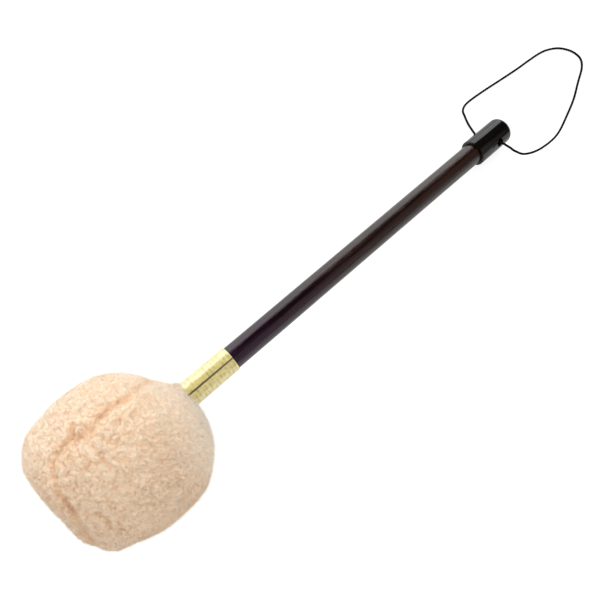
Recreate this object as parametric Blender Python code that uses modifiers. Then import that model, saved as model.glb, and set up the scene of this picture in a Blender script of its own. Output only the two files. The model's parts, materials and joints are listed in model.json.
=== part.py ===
"""Gong mallet with a felt-cored, wool-covered head, a stained handle, a gold sleeve and a corded cap.

Lengths are in metres. Stations along the mallet are x values in the mallet's own frame: x = 0 is
where the wool ends at the neck, the head lies on the negative side and the cap on the positive
side. The mallet lies on the plane z = 0, on the wool of its head and on the edge of its cap.
"""

import bpy
import bmesh
import math
import numpy as np
from mathutils import Matrix, Vector

# Fits
CLEARANCE = 0.0003  # between pieces that touch
FACETS = 32  # round a turned piece

# Handle
HANDLE_DIAMETER = 0.016
BARE_LENGTH = 0.2361  # from the sleeve to the mouth of the cap
CAP_END_CHAMFER = 0.001
TENON_DIAMETER = 0.012
SHOULDER_DEPTH = 0.0314  # from the neck to the shoulder inside the head
SLEEVE_SEAT_DEPTH = 0.0002  # turned into the handle under the sleeve

# Gold sleeve
SLEEVE_START = 0.0006
SLEEVE_LENGTH = 0.0352
SLEEVE_WALL = 0.0006

# End cap
CAP_DIAMETER = 0.0202
CAP_LENGTH = 0.0347
CAP_END_WALL = 0.004
CAP_END_RADIUS = 0.004
CAP_MOUTH_RADIUS = 0.0005
HANDLE_IN_CAP = 0.0155

# Hanging cord
CORD_DIAMETER = 0.0016
CORD_HOLE_DIAMETER = 0.006
CORD_HOLE_STATION = 0.0199  # from the mouth of the cap
CORD_HOLE_TILT = math.radians(33)  # above level, on the side away from +Y
CORD_STUB = 0.0022  # straight run outside the cap
CORD_POINT_SPACING = 0.0041
CORD_LIE = 0.00005  # above the surface
KNOT_LENGTH = 0.0054
KNOT_DIAMETER = 0.0072
KNOT_WRAPS = 3

# The cord's route from its upper exit to its lower one: x and y from the hole, z above the surface
CORD_ROUTE = [
    (0.0013, -0.0160, 0.0188),
    (0.0030, -0.0208, 0.0175),
    (0.0080, -0.0266, 0.0150),
    (0.0205, -0.0308, 0.0108),
    (0.0364, -0.0322, 0.0070),
    (0.0500, -0.0308, 0.0041),
    (0.0670, -0.0254, 0.0018),
    (0.0828, -0.0193, 0.00085),
    (0.0977, -0.0113, 0.00085),
    (0.1092, -0.0052, 0.00085),
    (0.1148, 0.0003, 0.00085),
    (0.1162, 0.0062, 0.00085),
    (0.1146, 0.0131, 0.00085),
    (0.1096, 0.0202, 0.00085),
    (0.1019, 0.0251, 0.00085),
    (0.0941, 0.0274, 0.00085),
    (0.0821, 0.0288, 0.00085),
    (0.0699, 0.0298, 0.00085),
    (0.0527, 0.0319, 0.00085),
    (0.0357, 0.0341, 0.00085),
    (0.0219, 0.0354, 0.00085),
    (0.0148, 0.0352, 0.00085),
    (0.0100, 0.0330, 0.00085),
    (0.0076, 0.0288, 0.00085),
    (0.0050, 0.0232, 0.00085),
    (0.0034, 0.0182, 0.00090),
]

# Wool cover
HEAD_LENGTH = 0.0968
HEAD_DIAMETER = 0.0986
HEAD_WIDEST = 0.0471  # from the neck
FAR_FULLNESS = (3.25, 2.05)  # exponents of the flattened far half
NECK_FULLNESS = (2.49, 1.65)  # exponents of the rounder neck half
HEAD_SAG = 0.0019  # the wool hangs towards -Y
FAR_SHIFT = 0.0033  # the far end leans towards +Y
NECK_SKEW = 0.0092  # the -Y side reaches further down the handle
FAR_SKEW = 0.0010
COLLAR_RADIUS = 0.018  # within it the +Y side closes up to the neck
LOBE_SWELL = 0.0024
LOBE_SPREAD = 0.028
LOBE_PLACE = (93, 186)  # polar angle from the far end and angle round from +Y, in degrees
COVER_SEGMENTS = 40
COVER_RINGS = 22
CAVITY_FACETS = 24
SEAM_ANGLE = math.radians(80)
SEAM_CROWDING = 0.5
SHOULDER_CROWDING = 0.1
FLOOR_FLAT_DEPTH = 0.0005

# Creases of the cover: depth, half width and a line of (polar angle, angle round) in degrees
CREASES = [
    (0.0034, 0.0042, [(151, 25), (140, 58), (119, 70), (104, 71), (87, 73), (76, 73)]),
    (0.0046, 0.0038, [(76, 73), (66, 72), (59, 77), (54, 85), (50, 96), (50, 109)]),
    (0.0022, 0.0045, [(50, 109), (47, 120), (44, 132), (40, 150), (34, 175)]),
    (0.0016, 0.0045, [(59, 77), (47, 72), (40, 64), (33, 52)]),
    (0.0016, 0.0040, [(66, 122), (61, 133)]),
]

# Hem of the cover and the thread that binds it to the handle
HEM_WALL = 0.0012
HEM_POCKET_END = 0.0070  # from the neck
THREAD_DIAMETER = 0.0012
THREAD_TURNS = 6
THREAD_PITCH = 0.0016
THREAD_START = 0.0082  # from the neck
THREAD_POINTS_PER_TURN = 20

# Felt inside the cover
JACKET_DIAMETER = 0.072
JACKET_FAR_DEPTH = 0.013  # below the wool's far end
JACKET_FAR_WALL = 0.0078
JACKET_FULLNESS = (4.0, 2.1)
JACKET_MOUTH_ROUND = 0.006
JACKET_RINGS = 7
FELT_STRIP_THICKNESS = 0.0033
FELT_TURNS = 3
FAR_DISC_DIAMETER = 0.048
FAR_DISC_THICKNESS = 0.0054
NECK_RING_THICKNESS = 0.0064

# Core and its fastening
CORE_DIAMETER = 0.030
CORE_CHAMFER = 0.001
WASHER_DIAMETER = 0.026
WASHER_THICKNESS = 0.002
SCREW_DIAMETER = 0.0042
SCREW_LENGTH = 0.024
SCREW_TIP = 0.004
SCREW_HEAD_DIAMETER = 0.009
SCREW_HEAD_HEIGHT = 0.003
SCREW_SLOT_WIDTH = 0.0012
SCREW_SLOT_DEPTH = 0.0014

# Stations that follow from the sizes above
SLEEVE_END = SLEEVE_START + SLEEVE_LENGTH
CAP_MOUTH = SLEEVE_END + BARE_LENGTH
CAP_END = CAP_MOUTH + CAP_LENGTH
CORD_HOLE = CAP_MOUTH + CORD_HOLE_STATION
SHOULDER = -SHOULDER_DEPTH
NECK_WASHER_END = SHOULDER - CLEARANCE
CORE_NECK_END = NECK_WASHER_END - WASHER_THICKNESS - CLEARANCE
JACKET_FAR_END = -HEAD_LENGTH + JACKET_FAR_DEPTH
FAR_DISC_FAR = JACKET_FAR_END + JACKET_FAR_WALL + CLEARANCE
END_WASHER_NEAR = FAR_DISC_FAR + FAR_DISC_THICKNESS
END_WASHER_FAR = END_WASHER_NEAR - WASHER_THICKNESS
CORE_FAR_END = END_WASHER_NEAR + CLEARANCE
CORE_LENGTH = CORE_NECK_END - CORE_FAR_END
TENON_END = CORE_FAR_END + CLEARANCE
SCREW_SEAT = END_WASHER_FAR - CLEARANCE
FELT_PITCH = FELT_STRIP_THICKNESS + CLEARANCE
ROLL_RADIUS = CORE_DIAMETER / 2 + (FELT_TURNS + 1) * FELT_PITCH
JACKET_BORE = ROLL_RADIUS + CLEARANCE
NECK_RING_NEAR = SHOULDER + NECK_RING_THICKNESS

collections = {}
materials = {}


def clear_scene():
    """Removes every object and makes one collection for the parts and one for the cutters."""
    for item in list(bpy.data.objects):
        bpy.data.objects.remove(item, do_unlink=True)
    for name in ("gong_mallet", "cutters"):
        collections[name] = bpy.data.collections.new(name)
        bpy.context.scene.collection.children.link(collections[name])


def material(name, colour, roughness, metallic=0.0):
    """A plain Principled material in linear colour."""
    made = bpy.data.materials.new(name)
    made.use_nodes = True
    shader = made.node_tree.nodes["Principled BSDF"]
    shader.inputs["Base Color"].default_value = (*colour, 1.0)
    shader.inputs["Roughness"].default_value = roughness
    shader.inputs["Metallic"].default_value = metallic
    materials[name] = made


def make_materials():
    material("wool_cover", (0.806, 0.617, 0.429), 0.95)
    material("handle_shaft", (0.032, 0.018, 0.018), 0.3)
    material("gold_sleeve", (0.87, 0.73, 0.32), 0.2, 1.0)
    material("end_cap", (0.012, 0.010, 0.009), 0.25)
    material("hanging_loop", (0.020, 0.012, 0.010), 0.6)
    material("loop_knot", (0.020, 0.012, 0.010), 0.6)
    material("neck_binding", (0.60, 0.55, 0.46), 0.8)
    material("felt_jacket", (0.55, 0.53, 0.48), 1.0)
    material("felt_roll", (0.50, 0.48, 0.44), 1.0)
    material("far_felt_disc", (0.45, 0.43, 0.40), 1.0)
    material("neck_felt_ring", (0.45, 0.43, 0.40), 1.0)
    material("head_core", (0.52, 0.36, 0.20), 0.6)
    material("neck_washer", (0.55, 0.55, 0.56), 0.35, 1.0)
    material("end_washer", (0.55, 0.55, 0.56), 0.35, 1.0)
    material("core_screw", (0.60, 0.58, 0.50), 0.3, 1.0)


def add_object(name, data, parent, group="gong_mallet"):
    """Links new object data under its parent, with the material of the same name if it has one."""
    made = bpy.data.objects.new(name, data)
    made.parent = parent
    collections[group].objects.link(made)
    if name in materials:
        data.materials.append(materials[name])
    return made


def as_cutter(made):
    made.hide_render = True
    made.display_type = "WIRE"
    return made


def shade(mesh):
    mesh.shade_smooth()
    mesh.set_sharp_from_angle(angle=math.radians(35))


def turned(name, profile, parent, closed=False, group="gong_mallet", steps=FACETS):
    """A turned piece along the parent's x axis, from (station, radius) points.

    The points run towards lower stations on the outer side. A closed profile is a ring.
    """
    mesh = bpy.data.meshes.new(name)
    points = [(radius, 0.0, station) for station, radius in profile]
    edges = [(i, i + 1) for i in range(len(points) - 1)]
    if closed:
        edges.append((len(points) - 1, 0))
    mesh.from_pydata(points, edges, [])
    made = add_object(name, mesh, parent, group)
    made.rotation_euler = (0.0, math.pi / 2, 0.0)
    screw = made.modifiers.new("Turn", "SCREW")
    screw.axis = "Z"
    screw.steps = steps
    screw.render_steps = steps
    screw.use_merge_vertices = True
    screw.merge_threshold = 0.00001
    screw.use_smooth_shade = True
    return made


def arc(station, radius, size, start, end, count):
    """Points of an arc about (station, radius), with angles in degrees from the x axis."""
    angles = [math.radians(start + (end - start) * i / count) for i in range(count + 1)]
    return [(station + size * math.cos(a), radius + size * math.sin(a)) for a in angles]


def ring_profile(near, far, inner, outer):
    """A plain ring between two stations."""
    return [(near, outer), (far, outer), (far, inner), (near, inner)]


def cylinder(name, radius, length, parent, group="gong_mallet", segments=24):
    """A cylinder along its own z axis, centred on its origin."""
    mesh = bpy.data.meshes.new(name)
    shape = bmesh.new()
    bmesh.ops.create_cone(
        shape, cap_ends=True, segments=segments, radius1=radius, radius2=radius, depth=length
    )
    shape.to_mesh(mesh)
    shape.free()
    return add_object(name, mesh, parent, group)


def box(name, size, centre, parent, group="gong_mallet"):
    mesh = bpy.data.meshes.new(name)
    shape = bmesh.new()
    bmesh.ops.create_cube(shape, size=1.0, matrix=Matrix.Diagonal((*size, 1.0)))
    shape.to_mesh(mesh)
    shape.free()
    made = add_object(name, mesh, parent, group)
    made.location = centre
    return made


def cut(target, cutter):
    modifier = target.modifiers.new(f"Cut {cutter.name}", "BOOLEAN")
    modifier.operation = "DIFFERENCE"
    modifier.solver = "EXACT"
    modifier.object = cutter


def rounded_half(ratio, widest, fullness):
    """The radius of a rounded half at a share of the way from its widest place to its end."""
    bulge, nose = fullness
    return widest * max(0.0, 1.0 - abs(ratio) ** bulge) ** (1.0 / nose)


def make_handle(frame):
    """The dowel: chamfered in the cap, with a sleeve seat, a tenon for the core and a pilot hole."""
    radius = HANDLE_DIAMETER / 2
    tenon = TENON_DIAMETER / 2
    end = CAP_MOUTH + HANDLE_IN_CAP
    pilot = SCREW_DIAMETER / 2 + CLEARANCE
    pilot_depth = SCREW_LENGTH + CLEARANCE
    profile = [
        (end, 0.0),
        (end, radius - CAP_END_CHAMFER),
        (end - CAP_END_CHAMFER, radius),
        (SLEEVE_END + CLEARANCE, radius),
        (SLEEVE_END + CLEARANCE, radius - SLEEVE_SEAT_DEPTH),
        (SLEEVE_START - CLEARANCE, radius - SLEEVE_SEAT_DEPTH),
        (SLEEVE_START - CLEARANCE, radius),
        (SHOULDER, radius),
        (SHOULDER, tenon),
        (TENON_END, tenon),
        (TENON_END, pilot),
        (TENON_END + pilot_depth - SCREW_TIP, pilot),
        (TENON_END + pilot_depth, 0.0),
    ]
    return turned("handle_shaft", profile, frame)


def make_sleeve(frame):
    """The thin metal sleeve seated on the handle beside the head."""
    inner = HANDLE_DIAMETER / 2 - SLEEVE_SEAT_DEPTH + CLEARANCE
    profile = ring_profile(SLEEVE_END, SLEEVE_START, inner, inner + SLEEVE_WALL)
    return turned("gold_sleeve", profile, frame, closed=True)


def hole_direction():
    """The cord hole's axis in the mallet's frame, pointing out of the upper exit."""
    return Vector((0.0, -math.cos(CORD_HOLE_TILT), math.sin(CORD_HOLE_TILT)))


def make_cap(frame):
    """The moulded cap: blind bore, rounded end and mouth, and one hole across it for the cord."""
    outer = CAP_DIAMETER / 2
    bore = HANDLE_DIAMETER / 2 + CLEARANCE
    bottom = CAP_END - CAP_END_WALL
    corner = CAP_END_RADIUS
    mouth = CAP_MOUTH_RADIUS
    profile = [(CAP_END, 0.0)]
    profile += arc(CAP_END - corner, outer - corner, corner, 0, 90, 6)
    profile += arc(CAP_MOUTH + mouth, outer - mouth, mouth, 90, 180, 3)
    profile += [(CAP_MOUTH, bore), (bottom, bore), (bottom, 0.0)]
    cap = turned("end_cap", profile, frame)
    drill = as_cutter(cylinder("cord_hole", CORD_HOLE_DIAMETER / 2, 2 * CAP_DIAMETER, frame, "cutters"))
    drill.location = (CORD_HOLE, 0.0, 0.0)
    drill.rotation_euler = hole_direction().to_track_quat("Z", "Y").to_euler()
    cut(cap, drill)
    return cap


def make_core(frame):
    """The turned core with the handle's tenon through it."""
    outer = CORE_DIAMETER / 2
    inner = TENON_DIAMETER / 2 + CLEARANCE
    profile = [
        (CORE_NECK_END, outer - CORE_CHAMFER),
        (CORE_NECK_END - CORE_CHAMFER, outer),
        (CORE_FAR_END + CORE_CHAMFER, outer),
        (CORE_FAR_END, outer - CORE_CHAMFER),
        (CORE_FAR_END, inner),
        (CORE_NECK_END, inner),
    ]
    return turned("head_core", profile, frame, closed=True)


def make_washers(frame):
    """One washer against the handle's shoulder and one under the screw's head."""
    outer = WASHER_DIAMETER / 2
    neck = ring_profile(
        NECK_WASHER_END, NECK_WASHER_END - WASHER_THICKNESS, TENON_DIAMETER / 2 + CLEARANCE, outer
    )
    end = ring_profile(END_WASHER_NEAR, END_WASHER_FAR, SCREW_DIAMETER / 2 + CLEARANCE, outer)
    return [
        turned("neck_washer", neck, frame, closed=True),
        turned("end_washer", end, frame, closed=True),
    ]


def make_screw(frame):
    """The wood screw that clamps the core: pan head with a slot, plain shank and a point."""
    shank = SCREW_DIAMETER / 2
    head = SCREW_HEAD_DIAMETER / 2
    tip = TENON_END + SCREW_LENGTH
    head_end = SCREW_SEAT - SCREW_HEAD_HEIGHT
    dome = SCREW_HEAD_HEIGHT / 2
    profile = [(tip, 0.0), (tip - SCREW_TIP, shank), (SCREW_SEAT, shank), (SCREW_SEAT, head)]
    profile += arc(head_end + dome, head - dome, dome, 90, 180, 4)
    profile.append((head_end, 0.0))
    screw = turned("core_screw", profile, frame)
    slot = box(
        "screw_slot",
        (2 * SCREW_SLOT_DEPTH, 2 * head, SCREW_SLOT_WIDTH),
        (head_end, 0.0, 0.0),
        frame,
        "cutters",
    )
    cut(screw, as_cutter(slot))
    return screw


def make_felt_roll(frame):
    """One strip of felt rolled round the core, with the clearance between its turns."""
    mesh = bpy.data.meshes.new("felt_roll")
    shape = bmesh.new()
    first = CORE_DIAMETER / 2 + CLEARANCE + FELT_STRIP_THICKNESS / 2
    row = []
    for i in range(FELT_TURNS * FACETS + 1):
        angle = math.tau * i / FACETS
        radius = first + FELT_PITCH * i / FACETS
        row.append(shape.verts.new((CORE_FAR_END, radius * math.cos(angle), radius * math.sin(angle))))
    edges = [shape.edges.new(pair) for pair in zip(row[:-1], row[1:])]
    swept = bmesh.ops.extrude_edge_only(shape, edges=edges)
    moved = [item for item in swept["geom"] if isinstance(item, bmesh.types.BMVert)]
    bmesh.ops.translate(shape, vec=(CORE_LENGTH, 0.0, 0.0), verts=moved)
    shape.to_mesh(mesh)
    shape.free()
    shade(mesh)
    roll = add_object("felt_roll", mesh, frame)
    solidify = roll.modifiers.new("Felt", "SOLIDIFY")
    solidify.thickness = FELT_STRIP_THICKNESS
    solidify.offset = 0.0
    solidify.use_even_offset = True
    return roll


def make_felt_ends(frame):
    """A disc over the roll's far end and a stepped ring at its neck end, both round the washers."""
    outer = ROLL_RADIUS
    washer = WASHER_DIAMETER / 2 + CLEARANCE
    handle = HANDLE_DIAMETER / 2 + CLEARANCE
    near = NECK_RING_NEAR
    step = SHOULDER + CLEARANCE
    far = CORE_NECK_END + CLEARANCE
    neck = [(near, outer - CORE_CHAMFER), (near - CORE_CHAMFER, outer), (far, outer)]
    neck += [(far, washer), (step, washer), (step, handle), (near, handle)]
    disc = ring_profile(END_WASHER_NEAR, FAR_DISC_FAR, washer, FAR_DISC_DIAMETER / 2)
    return [
        turned("far_felt_disc", disc, frame, closed=True),
        turned("neck_felt_ring", neck, frame, closed=True),
    ]


def jacket_outline(extra):
    """The felt jacket's outer side from its mouth to its far end, grown by extra."""
    radius = JACKET_DIAMETER / 2 + extra
    far = JACKET_FAR_END - extra
    middle = -HEAD_WIDEST
    mouth = NECK_RING_NEAR + extra
    corner = JACKET_MOUTH_ROUND + extra
    points = arc(mouth - corner, radius - corner, corner, 0, 90, 3)
    for i in range(1, JACKET_RINGS):
        ratio = math.sin(math.radians(90 * i / JACKET_RINGS))
        points.append((middle + (far - middle) * ratio, rounded_half(ratio, radius, JACKET_FULLNESS)))
    points.append((far, 0.0))
    return points


def make_jacket(frame):
    """The felt jacket: a thimble with a closed far end, pulled over the roll and its end disc."""
    seat = FAR_DISC_DIAMETER / 2 + CLEARANCE
    floor = FAR_DISC_FAR - CLEARANCE
    step = CORE_FAR_END - CLEARANCE
    profile = [(floor, 0.0), (floor, seat), (step, seat), (step, JACKET_BORE)]
    profile.append((NECK_RING_NEAR, JACKET_BORE))
    return turned("felt_jacket", profile + jacket_outline(0.0), frame, steps=CAVITY_FACETS)


def make_cavity(frame):
    """Cutter for the inside of the cover: round the jacket, round the hem and along the handle."""
    handle = HANDLE_DIAMETER / 2 + CLEARANCE
    hem = handle + HEM_WALL
    pocket = hem + 2 * CLEARANCE + THREAD_DIAMETER
    mouth = NECK_RING_NEAR + CLEARANCE
    hem_end = mouth + CLEARANCE
    beyond = HEAD_WIDEST
    profile = [
        (beyond, 0.0),
        (beyond, handle),
        (hem_end, handle),
        (hem_end, hem),
        (-HEM_POCKET_END, hem),
        (-HEM_POCKET_END, pocket),
        (mouth, pocket),
    ]
    profile += jacket_outline(CLEARANCE)
    return as_cutter(turned("cover_cavity", profile, frame, group="cutters", steps=CAVITY_FACETS))


def direction(polar, around):
    """Unit vector for a polar angle from the far end (-x) and an angle round from +y to +z."""
    return np.array(
        [-math.cos(polar), math.sin(polar) * math.cos(around), math.sin(polar) * math.sin(around)]
    )


def distance_to_line(place, line):
    """The least distance from a direction to a line of directions, on the unit sphere."""
    best = math.inf
    ends = [direction(math.radians(polar), math.radians(around)) for polar, around in line]
    for start, end in zip(ends[:-1], ends[1:]):
        along = end - start
        share = np.clip((place - start) @ along / (along @ along), 0.0, 1.0)
        best = min(best, float(np.linalg.norm(place - start - share * along)))
    return best


def relief(polar, around):
    """How far the cover stands out (+) or in (-) along the line from the head's middle."""
    place = direction(polar, around)
    scale = HEAD_DIAMETER / 2
    lobe = distance_to_line(place, [LOBE_PLACE, LOBE_PLACE[:1] + (LOBE_PLACE[1] + 12,)]) * scale
    height = LOBE_SWELL * math.exp(-((lobe / LOBE_SPREAD) ** 2))
    deepest = 0.0
    for depth, width, line in CREASES:
        gap = distance_to_line(place, line) * scale
        deepest = max(deepest, depth * math.exp(-((gap / width) ** 2)))
    return height - deepest


def cover_point(polar, around):
    """A point of the wool's outer surface."""
    radius = HEAD_DIAMETER / 2
    share = -math.cos(polar)
    on_neck_side = share > 0
    fullness = NECK_FULLNESS if on_neck_side else FAR_FULLNESS
    reach = HEAD_WIDEST if on_neck_side else HEAD_LENGTH - HEAD_WIDEST
    girth = rounded_half(share, radius, fullness)
    y = girth * math.cos(around)
    z = girth * math.sin(around)
    skew = NECK_SKEW if on_neck_side else FAR_SKEW
    if on_neck_side and y > 0:
        skew *= 1.0 - math.exp(-((girth / COLLAR_RADIUS) ** 2))
    x = share * reach - skew * (y / radius) * share**2
    y -= HEAD_SAG * math.sqrt(girth / radius)
    if not on_neck_side:
        y += FAR_SHIFT * share**2
    place = Vector((x, y, z))
    return Vector((-HEAD_WIDEST, 0.0, 0.0)) + place * (1.0 + relief(polar, around) / place.length)


def make_cover(frame):
    """The wool cover: a shaped sphere, closer meshed along the seam and shoulders, hollowed inside."""
    mesh = bpy.data.meshes.new("wool_cover")
    shape = bmesh.new()
    bmesh.ops.create_uvsphere(shape, u_segments=COVER_SEGMENTS, v_segments=COVER_RINGS, radius=1.0)
    for vertex in shape.verts:
        polar = math.acos(max(-1.0, min(1.0, vertex.co.z)))
        polar += SHOULDER_CROWDING * math.sin(4 * polar)
        turn = math.atan2(vertex.co.y, vertex.co.x)
        around = SEAM_ANGLE + turn - SEAM_CROWDING * math.sin(turn)
        vertex.co = cover_point(polar, around)
    bmesh.ops.recalc_face_normals(shape, faces=shape.faces)
    shape.to_mesh(mesh)
    shape.free()
    mesh.shade_smooth()
    cover = add_object("wool_cover", mesh, frame)
    cut(cover, make_cavity(frame))
    return cover


def make_binding(frame):
    """Thread wound round the hem in one close helix."""
    hem = HANDLE_DIAMETER / 2 + CLEARANCE + HEM_WALL
    radius = hem + CLEARANCE + THREAD_DIAMETER / 2
    count = THREAD_TURNS * THREAD_POINTS_PER_TURN + 1
    points = []
    for i in range(count):
        turn = i / THREAD_POINTS_PER_TURN
        angle = math.tau * turn
        station = -THREAD_START - THREAD_DIAMETER / 2 - THREAD_PITCH * turn
        points.append((station, radius * math.cos(angle), radius * math.sin(angle)))
    return tube("neck_binding", points, THREAD_DIAMETER, frame, resolution=1)


def tube(name, points, diameter, parent, resolution=2):
    """A round tube with filled ends along a line of points."""
    curve = bpy.data.curves.new(name, "CURVE")
    curve.dimensions = "3D"
    curve.bevel_depth = diameter / 2
    curve.bevel_resolution = resolution
    curve.use_fill_caps = True
    spline = curve.splines.new("POLY")
    spline.points.add(len(points) - 1)
    for target, point in zip(spline.points, points):
        target.co = (*point, 1.0)
    return add_object(name, curve, parent)


def smooth_line(points, spacing):
    """Even points along a Catmull-Rom curve through the given ones."""
    padded = [2 * points[0] - points[1]] + points + [2 * points[-1] - points[-2]]
    fine = []
    for a, b, c, d in zip(padded, padded[1:], padded[2:], padded[3:]):
        for i in range(20):
            t = i / 20
            fine.append(
                0.5 * (2 * b + (c - a) * t + (2 * a - 5 * b + 4 * c - d) * t**2)
                + 0.5 * (3 * b - a - 3 * c + d) * t**3
            )
    fine.append(points[-1])
    steps = [(q - p).length for p, q in zip(fine, fine[1:])]
    along = np.concatenate([[0.0], np.cumsum(steps)])
    count = max(2, round(along[-1] / spacing))
    wanted = np.linspace(0.0, along[-1], count + 1)
    columns = [np.interp(wanted, along, [p[axis] for p in fine]) for axis in range(3)]
    return [Vector(place) for place in zip(*columns)], float(along[-1])


def make_loop(frame, pivot):
    """The hanging cord, knotted inside the cap, leaving it on both sides and lying on the surface."""
    matrix = frame.matrix_world
    hole = matrix @ Vector((CORD_HOLE, 0.0, 0.0))
    outward = (matrix.to_3x3() @ hole_direction()).normalized()
    pivot.location = hole
    inside = KNOT_LENGTH / 2 + CLEARANCE
    outside = CAP_DIAMETER / 2 + CORD_STUB
    floor = CORD_DIAMETER / 2 + CORD_LIE
    route = [outward * inside, outward * (inside + outside) / 2, outward * outside]
    for x, y, z in CORD_ROUTE:
        route.append(Vector((x, y, max(z, floor) - hole.z)))
    route += [-outward * outside, -outward * (inside + outside) / 2, -outward * inside]
    middle, length = smooth_line(route[2:-2], CORD_POINT_SPACING)
    tube("hanging_loop", route[:2] + middle + route[-2:], CORD_DIAMETER, pivot)
    print(f"cord between the exits: {length * 1000:.1f} mm, {len(middle) + 4} points")
    make_knot(pivot, outward)
    return hole, outward


def make_knot(pivot, outward):
    """The stopper knot in the cap's hollow, as a barrel of wraps about the cord hole's axis."""
    waist = 0.8 * KNOT_DIAMETER / 2
    swell = KNOT_DIAMETER / 2 - waist
    end = 0.75 * CORD_DIAMETER
    count = 6 * KNOT_WRAPS
    profile = [(KNOT_LENGTH / 2, 0.0), (KNOT_LENGTH / 2, end)]
    for i in range(count + 1):
        share = i / count
        station = (0.5 - share) * (KNOT_LENGTH - 2 * CLEARANCE)
        profile.append((station, waist + swell * abs(math.sin(math.pi * KNOT_WRAPS * share))))
    profile += [(-KNOT_LENGTH / 2, end), (-KNOT_LENGTH / 2, 0.0)]
    knot = turned("loop_knot", profile, pivot, steps=16)
    knot.rotation_euler = outward.to_track_quat("Z", "Y").to_euler()


def evaluated_points(item):
    """World points of an object as the viewport shows it."""
    graph = bpy.context.evaluated_depsgraph_get()
    shown = item.evaluated_get(graph)
    mesh = shown.to_mesh()
    points = np.array([shown.matrix_world @ vertex.co for vertex in mesh.vertices])
    shown.to_mesh_clear()
    return points


def lay_down(frame, cover, cap):
    """Tilts the mallet about Y until the head's flat and the cap's edge both meet z = 0."""
    bpy.context.view_layer.update()
    head_points = evaluated_points(cover)
    cap_points = evaluated_points(cap)

    def lowest(points, tilt):
        return float((points[:, 2] * math.cos(tilt) - points[:, 0] * math.sin(tilt)).min())

    low, high = math.radians(-30), math.radians(30)
    for _ in range(60):
        tilt = (low + high) / 2
        if lowest(head_points, tilt) + FLOOR_FLAT_DEPTH < lowest(cap_points, tilt):
            low = tilt
        else:
            high = tilt
    frame.rotation_euler = (0.0, tilt, 0.0)
    frame.location = (0.0, 0.0, -lowest(cap_points, tilt))
    floor = box(
        "floor_cut",
        (2 * HEAD_LENGTH, 2 * HEAD_DIAMETER, HEAD_DIAMETER),
        (frame.location.x - HEAD_WIDEST, 0.0, -HEAD_DIAMETER / 2),
        None,
        "cutters",
    )
    cut(cover, as_cutter(floor))
    return floor


def centre_box(frame, floor, pieces):
    """Moves the mallet so that the middle of its box is above the origin."""
    bpy.context.view_layer.update()
    points = np.vstack([evaluated_points(piece) for piece in pieces])
    middle = (points.min(axis=0) + points.max(axis=0)) / 2
    for item in (frame, floor):
        item.location.x -= middle[0]
        item.location.y -= middle[1]
    bpy.context.view_layer.update()


def report(frame, cover, hole, outward):
    """Prints the places that a user of the mallet needs."""
    points = evaluated_points(cover)
    flat = points[points[:, 2] < CLEARANCE / 10]
    print(f"tilt {math.degrees(frame.rotation_euler.y):.3f} degrees")
    print(f"flat of the wool from {flat.min(axis=0)} to {flat.max(axis=0)}")
    print(f"cord hole {tuple(hole)}, axis {tuple(outward)}")


def main():
    clear_scene()
    make_materials()
    frame = add_object("mallet_frame", None, None)
    pivot = add_object("loop_pivot", None, None)
    cover = make_cover(frame)
    cap = make_cap(frame)
    pieces = [cover, cap, make_handle(frame), make_sleeve(frame), make_core(frame), make_screw(frame)]
    pieces += make_washers(frame)
    pieces += [make_felt_roll(frame), make_jacket(frame), make_binding(frame)]
    pieces += make_felt_ends(frame)
    floor = lay_down(frame, cover, cap)
    centre_box(frame, floor, pieces)
    hole, outward = make_loop(frame, pivot)
    bpy.context.view_layer.update()
    report(frame, cover, hole, outward)


main()
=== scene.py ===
import json
import math

import bmesh
import bpy
import numpy as np
from bpy.props import FloatProperty, FloatVectorProperty, IntProperty, PointerProperty
from mathutils import Matrix, Vector, noise
from mathutils.kdtree import KDTree


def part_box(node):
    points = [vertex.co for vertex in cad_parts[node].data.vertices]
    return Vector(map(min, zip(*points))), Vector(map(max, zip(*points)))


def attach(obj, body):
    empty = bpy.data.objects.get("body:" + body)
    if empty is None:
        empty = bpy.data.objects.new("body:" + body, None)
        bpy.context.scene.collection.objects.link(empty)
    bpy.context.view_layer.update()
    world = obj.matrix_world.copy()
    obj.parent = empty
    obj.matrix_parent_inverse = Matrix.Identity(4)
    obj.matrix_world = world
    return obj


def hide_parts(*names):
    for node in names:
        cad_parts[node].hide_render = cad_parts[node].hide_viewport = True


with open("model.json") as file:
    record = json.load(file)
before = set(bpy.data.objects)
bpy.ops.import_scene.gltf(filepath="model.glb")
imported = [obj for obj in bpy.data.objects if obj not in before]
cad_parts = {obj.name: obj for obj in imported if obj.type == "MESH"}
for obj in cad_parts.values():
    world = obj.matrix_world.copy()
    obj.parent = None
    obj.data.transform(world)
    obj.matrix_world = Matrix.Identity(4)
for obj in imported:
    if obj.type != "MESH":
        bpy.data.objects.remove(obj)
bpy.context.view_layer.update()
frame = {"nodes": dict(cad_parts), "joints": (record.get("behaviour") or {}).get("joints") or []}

bl_info = {
    "name": "Gong Mallet Dresser",
    "version": (1, 0, 0),
    "blender": (4, 5, 0),
    "location": "View3D > Sidebar > Gong Mallet",
    "description": "Wool head, stained handle, gold sleeve, corded cap and studio of a gong mallet",
    "category": "Object",
}

CLEARANCE = 0.0003

# Stations along the mallet, in metres from the neck: the head lies below zero
HANDLE_RADIUS = 0.008
SHOULDER = -0.0314
SLEEVE_START = 0.0006
SLEEVE_END = 0.0358
CAP_MOUTH = 0.2719
CAP_END = 0.3066
CORD_HOLE = 0.2918
HANDLE_END = 0.2874

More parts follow.
